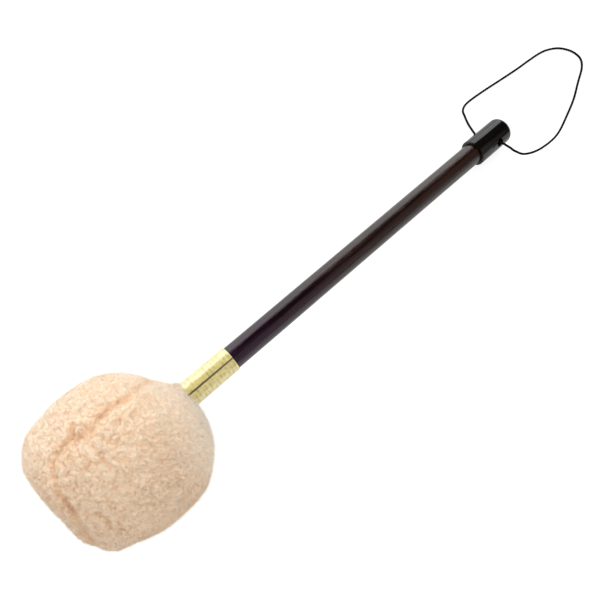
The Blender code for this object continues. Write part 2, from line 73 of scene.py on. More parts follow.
# The wool's form, as the solid has it
HEAD_LENGTH = 0.0968
HEAD_DIAMETER = 0.0986
HEAD_WIDEST = 0.0471
HEAD_MIDDLE = np.array([-HEAD_WIDEST, 0.0, 0.0])
FAR_FULLNESS = (3.25, 2.05)
NECK_FULLNESS = (2.49, 1.65)
HEAD_SAG = 0.0019
FAR_SHIFT = 0.0033
NECK_SKEW = 0.0092
FAR_SKEW = 0.0010
COLLAR_RADIUS = 0.018
LOBE_SWELL = 0.0024
LOBE_SPREAD = 0.028
LOBE_LINE = [(93, 186), (93, 198)]

# Creases and ridges: depth or height, half width and a line of (angle from the
# far end, angle round) in degrees
CREASES = [
    (0.0014, 0.0026, [(151, 20), (144, 46), (121, 69), (105, 70), (96, 72), (86, 74), (77, 73)]),
    (0.0018, 0.0016, [(81, 64), (77, 70), (73, 71), (67, 70)]),
    (0.0012, 0.0024, [(73, 72), (63, 72), (57, 75), (53, 81), (50, 87), (46, 96)]),
    (0.0034, 0.0024, [(46, 95), (46, 100), (45, 107), (45, 112)]),
    (0.0009, 0.0032, [(45, 112), (41, 124), (36, 145), (35, 165)]),
    (0.0012, 0.0014, [(58, 121), (60, 128), (57, 137)]),
    (0.0012, 0.0014, [(65, 133), (62, 143)]),
]
RIDGES = [
    (0.0012, 0.0020, [(51, 92), (52, 98), (52, 105), (50, 118), (47, 131)]),
    (0.0014, 0.0042, [(79, 58), (77, 64)]),
    (0.0008, 0.0032, [(118, 79), (105, 79), (94, 81)]),
    (0.0020, 0.0120, [(30, 38), (44, 26)]),
    (0.0027, 0.0100, [(34, 163), (43, 172)]),
    (0.0015, 0.0120, [(120, 183), (137, 184)]),
]
# Where the wool lies flatter, given like the creases
FLATS = [
    (0.0018, 0.0100, [(20, 64), (17, 94), (20, 128)]),
    (0.0017, 0.0120, [(61, 178), (89, 183)]),
]

# How the stuffing is tried with cloth: rings and faces round, share of the form's size, size of
# a face, depth of a crease that is sewn down, radius of the neck that is tied
TRIAL_GRID = (40, 64)
TRIAL_SCALE = 0.985
TRIAL_FACE = 0.005
SEWN_DEPTH = 0.0008
SEWN_NECK = 0.012
STUFFING_PRESSURE = 4.0
STUFFING_STEPS = 20
STUFFING_LIMIT = 0.03
BLEND_GAP = 0.02

# The pile: the side where it is brushed flat and which way, in the row frame
BRUSHED_SIDE = (0.62, -0.78, 0.0)
BRUSHED_SPREAD = 0.04
BRUSHED_WAY = (0.74, -0.67, 0.0)

# Lumps and brushed waves: layers of (share, scale, seed), and how far they are drawn out
LUMP_LAYERS = [(0.7, 1.0, 2.0), (0.3, 0.45, 6.0)]
WAVE_LAYERS = [(0.45, 0.75, 2.0), (0.55, 0.4, 8.0)]
LUMP_STRETCH = 0.3
WAVE_STRETCH = 0.6
LUMP_BEND = 0.3
LUMP_BEND_SIZE = 2.2
LUMP_GAIN = 1.25
LUMP_MIDDLE = 0.6
VALLEY_WIDTH = 0.18
CREASE_SHADE = 0.0011
PATCH_SIZE = 0.011
RING_SHIFT = 0.06

# Locks: points along one as shares of its length, width there, rows of tints in its UV map
NOISE_SEED = 5
LOCK_SEED = 21
LOCK_MAP = "OFBake"
LOCK_TINTS = 64
LOCK_STEPS = (0.0, 0.3, 0.6, 0.85, 1.0)
LOCK_TAPER = (1.0, 0.95, 0.8, 0.5)
LOCKS_IN_PIECE = 9000

# How locks lean as (size, seed) of the noise, stand out as strays and clear handle and floor
LEAN_LAYERS = [(0.0032, 3.0), (0.016, 5.0)]
LOCK_PULL = 0.0009
STEEPEST = 500.0
STRAY_SHARE = 0.18
STRAY_LENGTH = 1.9
STRAY_WIDTH = 0.4
ROOT_DEPTH = 0.0003
CLEAR_RADIUS = HANDLE_RADIUS + 0.0011
CLEAR_START = -0.01
FLOOR_GAP = 0.0004
BARE_COLLAR_RADIUS = HANDLE_RADIUS + 0.0008
BARE_COLLAR_START = -0.004

# Faces round the turned pieces, the sleeve, the cord hole and the cord
TURNED_SIDES = 128
SLEEVE_SIDES = 160
HOLE_SIDES = 48
CORD_SIDES = 24
LAP_EDGE_WIDTH = 0.0004

# Hem of the wool inside the head
HEM_END = -0.0244
HEM_RADIUS = 0.0095
POCKET_RADIUS = 0.0113
POCKET_START = -0.0070

# The cord's route from its upper exit to its lower one: x and y from the hole, and z above the
# surface where the cord doesn't lie on it
CORD_LIE = 0.00085
CORD_ROUTE = [
    (0.0013, -0.0160, 0.0188),
    (0.0030, -0.0208, 0.0175),
    (0.0080, -0.0266, 0.0150),
    (0.0205, -0.0308, 0.0108),
    (0.0364, -0.0322, 0.0070),
    (0.0500, -0.0308, 0.0041),
    (0.0670, -0.0254, 0.0018),
    (0.0828, -0.0193),
    (0.0977, -0.0113),
    (0.1092, -0.0052),
    (0.1148, 0.0003),
    (0.1162, 0.0062),
    (0.1146, 0.0131),
    (0.1096, 0.0202),
    (0.1019, 0.0251),
    (0.0941, 0.0274),
    (0.0821, 0.0288),
    (0.0699, 0.0298),
    (0.0527, 0.0319),
    (0.0357, 0.0341),
    (0.0219, 0.0354),
    (0.0148, 0.0352),
    (0.0100, 0.0330),
    (0.0076, 0.0288),
    (0.0050, 0.0232),
    (0.0034, 0.0182, 0.00090),
]
# Start and end of the cord's straight run in the hole, from the hole's middle
CORD_INSIDE = 0.0030
CORD_OUTSIDE = 0.0123

NODES = frame["nodes"]
HOLE = Vector(frame["joints"][0]["pos_m"])
HOLE_AXIS = Vector(frame["joints"][0]["axis"]).normalized()


def node_middle(name):
    """The middle of a node's box."""
    low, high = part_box(name)
    return (low + high) / 2


AXIS = (node_middle("neck_washer") - node_middle("end_washer")).normalized()
NECK = HOLE - AXIS * CORD_HOLE


def mallet_matrix():
    """From the mallet's own frame, x along the handle from the neck, to the row frame."""
    side = Vector((0.0, 1.0, 0.0))
    top = AXIS.cross(side).normalized()
    turn = Matrix((AXIS, side, top)).transposed()
    return Matrix.Translation(NECK) @ turn.to_4x4()


MALLET = mallet_matrix()


class WoolSettings(bpy.types.PropertyGroup):
    """Sizes and colours of the wool cover."""

    segments: IntProperty(name="Segments", description="Faces round the backing", default=400)
    rings: IntProperty(name="Rings", description="Faces along the backing", default=190)
    backing_depth: FloatProperty(
        name="Backing Depth", description="How far the backing lies under the tips",
        default=0.0012, unit="LENGTH",
    )
    lump_size: FloatProperty(
        name="Lump Size", description="Size of the pile's soft lumps", default=0.0034, unit="LENGTH"
    )
    lump_height: FloatProperty(
        name="Lump Height", description="How far a lump stands over its valleys",
        default=0.0012, unit="LENGTH",
    )
    pile_length: FloatProperty(
        name="Pile Length", description="Length of a lock",
        default=0.0023, unit="LENGTH",
    )
    lock_width: FloatProperty(
        name="Lock Width", description="Width of a lock at its root",
        default=0.00018, unit="LENGTH", precision=5,
    )
    locks: IntProperty(name="Locks", description="Locks of wool on the whole head", default=78000)
    swell: FloatProperty(
        name="Swell", description="How unevenly the stuffing fills the cover",
        default=0.0015, unit="LENGTH",
    )
    # Painted light: the neck and the lit +y side are paled towards this colour, as are the lumps'
    # tops and random patches
    pale_lit_colour: FloatVectorProperty(
        name="Pale Colour", description="Palest locks", default=(0.99, 0.94, 0.85), subtype="COLOR"
    )
    pile_colour: FloatVectorProperty(
        name="Pile Colour", description="Most of the pile",
        default=(0.93, 0.755, 0.56), subtype="COLOR",
    )
    # Painted shade: the warm, dark colour given to the pile's valleys, creases and roots
    deep_shade_colour: FloatVectorProperty(
        name="Deep Colour", description="Valleys and creases",
        default=(0.88, 0.58, 0.36), subtype="COLOR",
    )


class HandleSettings(bpy.types.PropertyGroup):
    """Finish of the handle."""

    neck_colour: FloatVectorProperty(
        name="Neck Colour", description="Stain beside the sleeve",
        default=(0.024, 0.006, 0.020), subtype="COLOR",
    )
    cap_colour: FloatVectorProperty(
        name="Cap Colour", description="Stain beside the cap",
        default=(0.028, 0.009, 0.005), subtype="COLOR",
    )


class SleeveSettings(bpy.types.PropertyGroup):
    """Finish of the gold sleeve."""

    colour: FloatVectorProperty(
        name="Colour", description="Foil", default=(0.80, 0.68, 0.21), subtype="COLOR"
    )
    radius: FloatProperty(name="Radius", description="Outer radius", default=0.0087, unit="LENGTH")
    lap_angle: FloatProperty(
        name="Lap Angle", description="Where the foil laps, round from the side",
        default=math.radians(102.7), unit="ROTATION",
    )
    overlap: FloatProperty(
        name="Overlap", description="Step of the foil's lap",
        default=0.00018, unit="LENGTH", precision=5,
    )


class CapSettings(bpy.types.PropertyGroup):
    """Sizes and colour of the end cap."""

    radius: FloatProperty(name="Radius", description="Outer radius", default=0.0101, unit="LENGTH")
    end_radius: FloatProperty(
        name="End Radius", description="Rounding of the closed end", default=0.004, unit="LENGTH"
    )
    hole: FloatProperty(
        name="Hole", description="Diameter of the cord hole", default=0.006, unit="LENGTH"
    )
    colour: FloatVectorProperty(
        name="Colour", description="Moulded black", default=(0.0015, 0.0012, 0.001), subtype="COLOR"
    )


class CordSettings(bpy.types.PropertyGroup):
    """Sizes and colour of the hanging cord."""

    diameter: FloatProperty(
        name="Diameter", description="Over the braid", default=0.0017, unit="LENGTH", precision=4
    )
    step: FloatProperty(
        name="Step", description="Length of one ring of faces",
        default=0.0003, unit="LENGTH", precision=5,
    )
    plaits: IntProperty(name="Plaits", description="Strands that run each way", default=4)
    pitch: FloatProperty(
        name="Pitch", description="Length of one turn of a strand",
        default=0.0072, unit="LENGTH", precision=4,
    )
    colour: FloatVectorProperty(
        name="Colour", description="Waxed dark brown",
        default=(0.016, 0.006, 0.004), subtype="COLOR",
    )


class StageSettings(bpy.types.PropertyGroup):
    """Camera and light."""

    azimuth: FloatProperty(
        name="Azimuth", description="Camera's place round the mallet",
        default=math.radians(-43.9), unit="ROTATION",
    )
    elevation: FloatProperty(
        name="Elevation", description="Camera's height as an angle",
        default=math.radians(75.77), unit="ROTATION",
    )
    roll: FloatProperty(
        name="Roll", description="Turn of the picture", default=math.radians(1.48), unit="ROTATION"
    )
    distance: FloatProperty(
        name="Distance", description="From the camera to the handle", default=0.3763, unit="LENGTH"
    )
    aim_station: FloatProperty(
        name="Aim Station", description="Where the camera looks, from the neck",
        default=0.0956, unit="LENGTH",
    )
    lens: FloatProperty(name="Lens", description="Focal length", default=34.03, unit="CAMERA")


# Nodes and materials


def fill(node, inputs):
    """Sets inputs by name or number: a socket is linked, and anything else becomes the value."""
    for name, value in inputs.items():
        if isinstance(value, bpy.types.NodeSocket):
            node.id_data.links.new(value, node.inputs[name])
        else:
            node.inputs[name].default_value = value


def nodes_of(tree):
    """A function that adds a node to a tree, with its inputs and its other values."""

    def add(kind, inputs=None, **values):
        node = tree.nodes.new(kind)
        for name, value in values.items():
            setattr(node, name, value)
        fill(node, inputs or {})
        return node

    return add


def ramp(add, value, low, high, start=0.0, end=1.0, **values):
    """A number from start to end, by where a value lies between low and high."""
    inputs = {"Value": value, "From Min": low, "From Max": high, "To Min": start, "To Max": end}
    return add("ShaderNodeMapRange", inputs, **values).outputs["Result"]


def combine(add, operation, first, second):
    """One number from two."""
    return add("ShaderNodeMath", {0: first, 1: second}, operation=operation).outputs[0]


def mottle(add, place, scale, detail, **more):
    """The value of a noise texture."""
    inputs = {"Vector": place, "Scale": scale, "Detail": detail, **more}
    return add("ShaderNodeTexNoise", inputs).outputs["Fac"]


def mix_colours(add, share, first, second):
    """A colour between two, by a share from 0 to 1."""
    colours = [c if isinstance(c, bpy.types.NodeSocket) else (*c, 1.0) for c in (first, second)]
    inputs = {0: share, 6: colours[0], 7: colours[1]}
    return add("ShaderNodeMix", inputs, data_type="RGBA").outputs[2]


def mix_shaders(add, share, first, second):
    """A shader node between two others, by a share from 0 to 1."""
    return add("ShaderNodeMixShader", {0: share, 1: first.outputs[0], 2: second.outputs[0]})


def new_group(name, inputs, outputs):
    """An empty shader node group: its inputs have these values, or none for a place."""
    tree = bpy.data.node_groups.new(name, "ShaderNodeTree")
    for label, value in inputs.items():
        kind = "NodeSocketFloat" if isinstance(value, float) else "NodeSocketVector"
        socket = tree.interface.new_socket(label, in_out="INPUT", socket_type=kind)
        if value is not None:
            socket.default_value = value
    for label in outputs:
        tree.interface.new_socket(label, in_out="OUTPUT", socket_type="NodeSocketFloat")
    given = tree.nodes.new("NodeGroupInput").outputs
    return tree, nodes_of(tree), given, tree.nodes.new("NodeGroupOutput")


def fibre_group():
    """Short tangled fibres: a height and a light-to-dark mask at a given scale."""
    tree, add, given, out = new_group(
        "tangled_fibres", {"Vector": None, "Scale": 900.0, "Tangle": 1.5}, ["Height", "Mask"]
    )
    place = given["Vector"]
    warp = add("ShaderNodeTexNoise", {"Vector": place, "Scale": 260.0, "Detail": 2.0})
    push = {0: warp.outputs["Color"], "Scale": 0.004}
    push = add("ShaderNodeVectorMath", push, operation="SCALE").outputs[0]
    moved = add("ShaderNodeVectorMath", {0: place, 1: push}, operation="ADD").outputs[0]
    tangle = {"Roughness": 0.65, "Distortion": given["Tangle"]}
    hair = mottle(add, moved, given["Scale"], 4.0, **tangle)
    fill(out, {"Height": hair, "Mask": ramp(add, hair, 0.32, 0.68)})
    return tree


def streak_group():
    """Fine streaks along one axis, for wood grain, foil and turned metal."""
    tree, add, given, out = new_group(
        "lengthwise_streaks",
        {"Vector": None, "Stretch": (12.0, 900.0, 900.0), "Contrast": 0.2},
        ["Height", "Mask"],
    )
    drawn = {0: given["Vector"], 1: given["Stretch"]}
    drawn = add("ShaderNodeVectorMath", drawn, operation="MULTIPLY").outputs[0]
    lines = mottle(add, drawn, 1.0, 5.0, Roughness=0.7)
    low = combine(add, "SUBTRACT", 0.5, given["Contrast"])
    high = combine(add, "ADD", 0.5, given["Contrast"])
    fill(out, {"Height": lines, "Mask": ramp(add, lines, low, high)})
    return tree


def scuff_group():
    """Sparse rubbed spots and faint waves, for roughness and height of smooth coats."""
    tree, add, given, out = new_group(
        "handling_scuffs",
        {"Vector": None, "Base Roughness": 0.2, "Scuff Roughness": 0.4},
        ["Roughness", "Height"],
    )
    place = given["Vector"]
    spots = ramp(add, mottle(add, place, 220.0, 6.0), 0.5, 0.75)
    rough = ramp(add, spots, 0.0, 1.0, given["Base Roughness"], given["Scuff Roughness"])
    fill(out, {"Roughness": rough, "Height": mottle(add, place, 90.0, 2.0)})
    return tree


GROUPS = {}


def make_groups():
    GROUPS.update(fibres=fibre_group(), streaks=streak_group(), scuffs=scuff_group())


def use_group(add, name, place, **values):
    """The outputs of a group at a place, with its own values."""
    inputs = {label.replace("_", " "): value for label, value in values.items()}
    return add("ShaderNodeGroup", {"Vector": place, **inputs}, node_tree=GROUPS[name]).outputs


def start_material(name):
    """A new node material and a function that adds nodes to it."""
    made = bpy.data.materials.new(name)
    made.use_nodes = True
    return made, nodes_of(made.node_tree)


def on_object(add):
    """Places in the row frame, which every finished piece's object has."""
    return add("ShaderNodeTexCoord").outputs["Object"]


def on_mallet(add):
    """Places in the mallet's frame: x is the station along the handle."""
    back = MALLET.inverted()
    turned = {"Location": back.to_translation(), "Rotation": back.to_euler()}
    return add("ShaderNodeMapping", {"Vector": on_object(add), **turned}).outputs["Vector"]


def finish_material(made, add, looks, height=None, distance=0.0, strength=1.0):
    """Sets the shader's inputs, and its bump where a height is given."""
    if height is not None:
        relief = {"Height": height, "Distance": distance, "Strength": strength}
        looks["Normal"] = add("ShaderNodeBump", relief).outputs["Normal"]
    fill(made.node_tree.nodes["Principled BSDF"], looks)
    return made


def wool_backing_material(settings):
    """The backing under the pile: painted shade darkens its valleys and creases, and the lumps are
    paler.
    """
    made, add = start_material("wool_backing")
    height = add("ShaderNodeAttribute", attribute_name="lump_height").outputs["Fac"]
    fibres = use_group(add, "fibres", on_object(add), Scale=900.0, Tangle=1.2)
    # Painted shade: where lump_height is low, in valleys and creases, the backing takes the deep
    # shade colour
    pile = mix_colours(add, height, settings.deep_shade_colour, settings.pile_colour)
    dark = combine(add, "MULTIPLY", fibres["Mask"], 0.15)
    looks = {
        "Base Color": mix_colours(add, dark, pile, settings.deep_shade_colour),
        "Roughness": 0.95,
        "Specular IOR Level": 0.1,
        "Sheen Weight": 0.3,
        "Sheen Roughness": 0.5,
    }
    return finish_material(made, add, looks, fibres["Height"], 0.0006)


def wool_lock_material(settings):
    """The locks: painted shade darkens their roots, and each tint carries painted light and shade.
    """
    made, add = start_material("lambswool_locks")
    corner = add("ShaderNodeUVMap", uv_map=LOCK_MAP).outputs["UV"]
    parts = add("ShaderNodeSeparateXYZ", {"Vector": corner}).outputs
    tint, along = parts["X"], parts["Y"]
    deep = settings.deep_shade_colour
    warm = mix_colours(add, ramp(add, tint, 0.0, 0.5), deep, settings.pile_colour)
    lock = mix_colours(add, ramp(add, tint, 0.5, 1.0), warm, settings.pale_lit_colour)
    looks = {
        # Painted shade: the roots, deep in the pile, take the deep shade colour
        "Base Color": mix_colours(add, ramp(add, along, 0.1, 0.6, 0.3, 0.0), lock, deep),
        "Roughness": 0.85,
        "Specular IOR Level": 0.15,
        "Sheen Weight": 0.35,
        "Sheen Roughness": 0.4,
    }
    return finish_material(made, add, looks)


def wood_material(settings):
    """Dark stained hardwood in a satin finish, purple by the neck and brown by the cap."""
    made, add = start_material("stained_hardwood")
    place = on_mallet(add)
    streaks = use_group(add, "streaks", place, Stretch=(9.0, 560.0, 560.0), Contrast=0.07)
    along = add("ShaderNodeSeparateXYZ", {"Vector": place}).outputs["X"]
    share = ramp(add, along, SLEEVE_END, 0.6 * CAP_MOUTH)
    stain = mix_colours(add, share, settings.neck_colour, settings.cap_colour)
    dark = mix_colours(add, 0.85, stain, (0.002, 0.001, 0.001))
    scuffs = use_group(add, "scuffs", place, Base_Roughness=0.11, Scuff_Roughness=0.2)
    looks = {
        "Base Color": mix_colours(add, streaks["Mask"], dark, stain),
        "Roughness": scuffs["Roughness"],
        "Specular IOR Level": 0.6,
    }
    return finish_material(made, add, looks, streaks["Height"], 0.0003)


def foil_material(settings):
    """Gold foil, finely creased, with faint rows of plain dashes and a darkened lap edge."""
    made, add = start_material("gold_foil")
    place = on_mallet(add)
    streaks = use_group(add, "streaks", place, Stretch=(260.0, 480.0, 480.0), Contrast=0.16)
    deep = mix_colours(add, 0.6, settings.colour, (0.50, 0.33, 0.06))
    foil = mix_colours(add, streaks["Mask"], deep, settings.colour)
    bands = {"wave_type": "BANDS", "bands_direction": "X"}
    wave = add("ShaderNodeTexWave", {"Vector": place, "Scale": 115.0}, **bands)
    row = ramp(add, wave.outputs["Fac"], 0.4, 0.7)
    dash = ramp(add, mottle(add, place, 480.0, 1.0), 0.46, 0.56, 0.0, 0.5)
    foil = mix_colours(add, combine(add, "MULTIPLY", row, dash), foil, (0.26, 0.22, 0.05))
    edge = add("ShaderNodeAttribute", attribute_name="lap_edge").outputs["Fac"]
    scuffs = use_group(add, "scuffs", place, Base_Roughness=0.30, Scuff_Roughness=0.42)
    looks = {
        "Base Color": mix_colours(add, edge, foil, (0.026, 0.022, 0.001)),
        "Roughness": scuffs["Roughness"],
        "Coat Weight": 1.0,
        "Coat IOR": 2.6,
        "Coat Roughness": 0.3,
    }
    return finish_material(made, add, looks, streaks["Height"], 0.0002)


def cap_material(settings):
    """Glossy moulded black with faint handling marks."""
    made, add = start_material("moulded_black")
    place = on_object(add)
    scuffs = use_group(add, "scuffs", place, Base_Roughness=0.03, Scuff_Roughness=0.07)
    fibres = use_group(add, "fibres", place, Scale=500.0, Tangle=0.2)
    looks = {
        "Base Color": mix_colours(add, fibres["Mask"], settings.colour, (0.005, 0.004, 0.003)),
        "Roughness": scuffs["Roughness"],
    }
    return finish_material(made, add, looks, scuffs["Height"], 0.0001, 0.3)


def cord_material(settings, name="waxed_braid"):
    """Waxed braid, with painted shade darkening the grooves between its strands' crowns."""
    made, add = start_material(name)
    crown = add("ShaderNodeAttribute", attribute_name="crown").outputs["Fac"]
    fibres = use_group(add, "fibres", on_object(add), Scale=2600.0, Tangle=0.4)
    # Painted shade: the grooves between the strands' crowns are darker than the crowns
    base = mix_colours(add, crown, (0.006, 0.002, 0.001), settings.colour)
    worn = tuple(0.6 * c for c in settings.colour)
    looks = {
        "Base Color": mix_colours(add, fibres["Mask"], base, worn),
        "Roughness": 0.6,
        "Specular IOR Level": 0.04,
    }
    return finish_material(made, add, looks, fibres["Height"], 0.0001)


def felt_material(name, colour):
    """Pressed felt with its tangled fibres."""
    made, add = start_material(name)
    fibres = use_group(add, "fibres", on_object(add), Scale=1200.0, Tangle=1.8)
    dark = tuple(0.7 * c for c in colour)
    looks = {
        "Base Color": mix_colours(add, fibres["Mask"], dark, colour),
        "Roughness": 0.95,
        "Sheen Weight": 0.3,
    }
    return finish_material(made, add, looks, fibres["Height"], 0.0004)


def steel_material():
    """Zinc-plated steel with turning marks."""
    made, add = start_material("zinc_plate")
    stretch = (1500.0, 1500.0, 60.0)
    streaks = use_group(add, "streaks", on_object(add), Stretch=stretch, Contrast=0.2)
    shades = (0.48, 0.48, 0.49), (0.60, 0.60, 0.62)
    looks = {
        "Base Color": mix_colours(add, streaks["Mask"], *shades),
        "Metallic": 1.0,
        "Roughness": 0.35,
    }
    return finish_material(made, add, looks, streaks["Height"], 0.00004)


def bare_wood_material():
    """Pale turned hardwood."""
    made, add = start_material("bare_hardwood")
    stretch = (30.0, 700.0, 700.0)
    streaks = use_group(add, "streaks", on_object(add), Stretch=stretch, Contrast=0.2)
    shades = (0.38, 0.24, 0.12), (0.56, 0.39, 0.22)
    looks = {"Base Color": mix_colours(add, streaks["Mask"], *shades), "Roughness": 0.6}
    return finish_material(made, add, looks, streaks["Height"], 0.00015)


# Modelling helpers


def deselect():
    if bpy.context.object and bpy.context.object.mode != "OBJECT":
        bpy.ops.object.mode_set(mode="OBJECT")
    bpy.ops.object.select_all(action="DESELECT")


def make_active(item):
    deselect()
    item.select_set(True)
    bpy.context.view_layer.objects.active = item


def draw_to_point():
    """Closes the selected ring in a point at its middle."""
    bpy.ops.mesh.extrude_region_move()
    bpy.ops.mesh.merge(type="CENTER")


def lathe(name, profile, segments, closed=False):
    """A turned piece on the mallet's axis, drawn out from one ring through its profile.

    The profile's (station, radius) points run towards the neck on the outer side. A closed profile
    is a ring. An open one ends in a point at both ends.
    """
    deselect()
    station, radius = profile[0]
    bpy.ops.mesh.primitive_circle_add(
        vertices=segments,
        radius=radius,
        location=(station, 0.0, 0.0),
        rotation=(0.0, math.pi / 2, 0.0),
    )
    made = bpy.context.object
    made.name = made.data.name = name
    bpy.ops.object.transform_apply(location=True, rotation=True, scale=True)
    bpy.ops.object.mode_set(mode="EDIT")
    bpy.ops.mesh.select_all(action="SELECT")
    if not closed:
        draw_to_point()
        bpy.ops.mesh.select_all(action="DESELECT")
        select_ring(made, station, radius)
    steps = list(zip(profile, profile[1:] + profile[:1] if closed else profile[1:]))
    for (station, radius), (next_station, next_radius) in steps:
        bpy.ops.mesh.extrude_region_move(
            TRANSFORM_OT_translate={"value": (next_station - station, 0.0, 0.0)}
        )
        share = next_radius / radius
        middle = (next_station, 0.0, 0.0)
        bpy.ops.transform.resize(value=(1.0, share, share), center_override=middle)
    if not closed:
        draw_to_point()
    bpy.ops.mesh.select_all(action="SELECT")
    bpy.ops.mesh.remove_doubles(threshold=0.000001)
    bpy.ops.mesh.normals_make_consistent(inside=False)
    bpy.ops.object.mode_set(mode="OBJECT")
    return made


def select_ring(made, station, radius):
    """Selects the vertices of one ring, in edit mode."""
    shape = bmesh.from_edit_mesh(made.data)
    for vertex in shape.verts:
        on_ring = abs(vertex.co.x - station) < 1e-6
        out = math.hypot(vertex.co.y, vertex.co.z)
        vertex.select_set(on_ring and abs(out - radius) < 1e-5)
    shape.select_flush(True)
    bmesh.update_edit_mesh(made.data)


def place_on_mallet(made):
    """Moves a piece from the mallet's frame to its place, with the place in its mesh."""
    make_active(made)
    made.matrix_world = MALLET
    bpy.ops.object.transform_apply(location=True, rotation=True, scale=True)


def smooth(made, degrees=35):
    make_active(made)
    bpy.ops.object.shade_smooth_by_angle(angle=math.radians(degrees))


def apply_modifier(made, modifier):
    make_active(made)
    bpy.ops.object.modifier_apply(modifier=modifier.name)


def face_outwards(made):
    """Turns all faces outwards and shades them smooth."""
    make_active(made)
    bpy.ops.object.mode_set(mode="EDIT")
    bpy.ops.mesh.select_all(action="SELECT")
    bpy.ops.mesh.normals_make_consistent(inside=False)
    bpy.ops.object.mode_set(mode="OBJECT")
    bpy.ops.object.shade_smooth()


def keep_values(made, name, values):
    """Stores a number for each vertex."""
    layer = made.data.attributes.new(name, "FLOAT", "POINT")
    layer.data.foreach_set("value", np.asarray(values, np.float32))


def arc(station, radius, size, start, end, count):
    """Points of an arc about (station, radius), with angles in degrees from the x axis."""
    angles = [math.radians(start + (end - start) * i / count) for i in range(count + 1)]
    return [(station + size * math.cos(a), radius + size * math.sin(a)) for a in angles]


def finish_piece(made, body, material, slot, *replaced):
    """Gives a piece its material and body, and hides the nodes that it stands for. The slot is not
    used.
    """
    made.data.materials.clear()
    made.data.materials.append(material)
    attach(made, body)
    if replaced:
        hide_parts(*replaced)


def new_object(name, data):
    """A new object in the scene."""
    made = bpy.data.objects.new(name, data)
    bpy.context.scene.collection.objects.link(made)
    return made


def mesh_object(name, points, faces):
    """A new object from points and faces of any kind."""
    mesh = bpy.data.meshes.new(name)
    mesh.from_pydata([tuple(p) for p in points], [], faces)
    mesh.update()
    return new_object(name, mesh)


# The wool's form


def directions(polar, around):
    """Unit vectors for angles from the far end (-x) and round from +y to +z, in radians."""
    return np.stack(
        [-np.cos(polar), np.sin(polar) * np.cos(around), np.sin(polar) * np.sin(around)], axis=-1
    )


def distance_to_line(place, line):
    """The least distance from unit vectors to a line given in degrees, on the unit sphere."""
    ends = [directions(math.radians(polar), math.radians(around)) for polar, around in line]
    best = np.full(place.shape[:-1], np.inf)
    for start, end in zip(ends[:-1], ends[1:]):
        along = end - start
        share = np.clip((place - start) @ along / (along @ along), 0.0, 1.0)
        best = np.minimum(best, np.linalg.norm(place - start - share[..., None] * along, axis=-1))
    return best


def rise(values, start, span):
    """A share that is 0 at the start and grows to 1 over a span, which may run downwards."""
    return np.clip((values - start) / span, 0.0, 1.0)


def rounded_half(ratio, widest, fullness):
    """The radius of a rounded half at shares of the way from its widest place to its end."""
    bulge, nose = fullness
    return widest * np.maximum(0.0, 1.0 - np.abs(ratio) ** bulge) ** (1.0 / nose)


def strongest(lines, place):
    """The most that a list of creases or ridges reaches at unit vectors from the head's middle."""
    scale = HEAD_DIAMETER / 2
    deepest = np.zeros(place.shape[:-1])
    for depth, width, line in lines:
        gap = distance_to_line(place, line) * scale
        deepest = np.maximum(deepest, depth * np.exp(-((gap / width) ** 2)))
    return deepest


def head_form(polar, around):
    """Points of the wool without its creases, in the mallet's frame."""
    radius = HEAD_DIAMETER / 2
    share = -np.cos(polar)
    neck_side = share > 0
    girth = np.where(
        neck_side,
        rounded_half(share, radius, NECK_FULLNESS),
        rounded_half(share, radius, FAR_FULLNESS),
    )
    reach = np.where(neck_side, HEAD_WIDEST, HEAD_LENGTH - HEAD_WIDEST)
    y = girth * np.cos(around)
    z = girth * np.sin(around)
    collar = 1.0 - np.exp(-((girth / COLLAR_RADIUS) ** 2))
    skew = np.where(neck_side, NECK_SKEW * np.where(y > 0, collar, 1.0), FAR_SKEW)
    x = share * reach - skew * (y / radius) * share**2
    y = y - HEAD_SAG * np.sqrt(girth / radius) + np.where(neck_side, 0.0, FAR_SHIFT * share**2)
    place = np.stack([x, y, z], axis=-1)
    lobe = distance_to_line(directions(polar, around), LOBE_LINE) * radius
    swell = LOBE_SWELL * np.exp(-((lobe / LOBE_SPREAD) ** 2))
    length = np.linalg.norm(place, axis=-1)
    return HEAD_MIDDLE + place * (1.0 + swell / length)[..., None]


def grid_faces(rings, segments, start=0):
    """Quads between rings of points that follow each other."""
    faces = []
    for ring in range(rings - 1):
        a = start + ring * segments
        b = a + segments
        for i in range(segments):
            j = (i + 1) % segments
            faces.append((a + i, b + i, b + j, a + j))
    return faces


def lining_profile():
    """(station, radius) points of the wool's inner side, round the hem to the far end."""
    back = MALLET.inverted()
    jacket = np.array([back @ v.co for v in NODES["felt_jacket"].data.vertices])
    stations = np.round(jacket[:, 0], 5)
    radii = np.hypot(jacket[:, 1], jacket[:, 2])
    inner = HANDLE_RADIUS + CLEARANCE
    mouth = stations.max() + CLEARANCE
    profile = [(HEM_END, inner), (HEM_END, HEM_RADIUS), (POCKET_START, HEM_RADIUS)]
    profile += [(POCKET_START, POCKET_RADIUS), (mouth, POCKET_RADIUS)]
    for station in sorted(set(stations), reverse=True):
        radius = radii[stations == station].max()
        if radius > HEM_RADIUS and station > stations.min():
            profile.append((station, radius + 2 * CLEARANCE))
    last = stations.min() - 2 * CLEARANCE
    return profile + [(last, profile[-1][1])], last


def wool_grid(rings, segments):
    """Angles from the far end and round, for each point of the cover's grid."""
    polar = np.linspace(0.0, math.pi, rings + 2)[1:]
    polar = polar + RING_SHIFT * np.sin(2 * polar)
    around = np.linspace(0.0, math.tau, segments, endpoint=False)
    return np.meshgrid(polar, around, indexing="ij")


def unit(vectors):
    return vectors / np.maximum(np.linalg.norm(vectors, axis=-1), 1e-12)[..., None]


def grid_normals(grid):
    """Outward unit normals of a closed ring grid round the mallet's axis."""
    around = np.roll(grid, -1, axis=1) - np.roll(grid, 1, axis=1)
    along = np.gradient(grid, axis=0)
    normal = unit(np.cross(around, along))
    out = grid - HEAD_MIDDLE
    return normal * np.sign((normal * out).sum(axis=-1))[..., None]


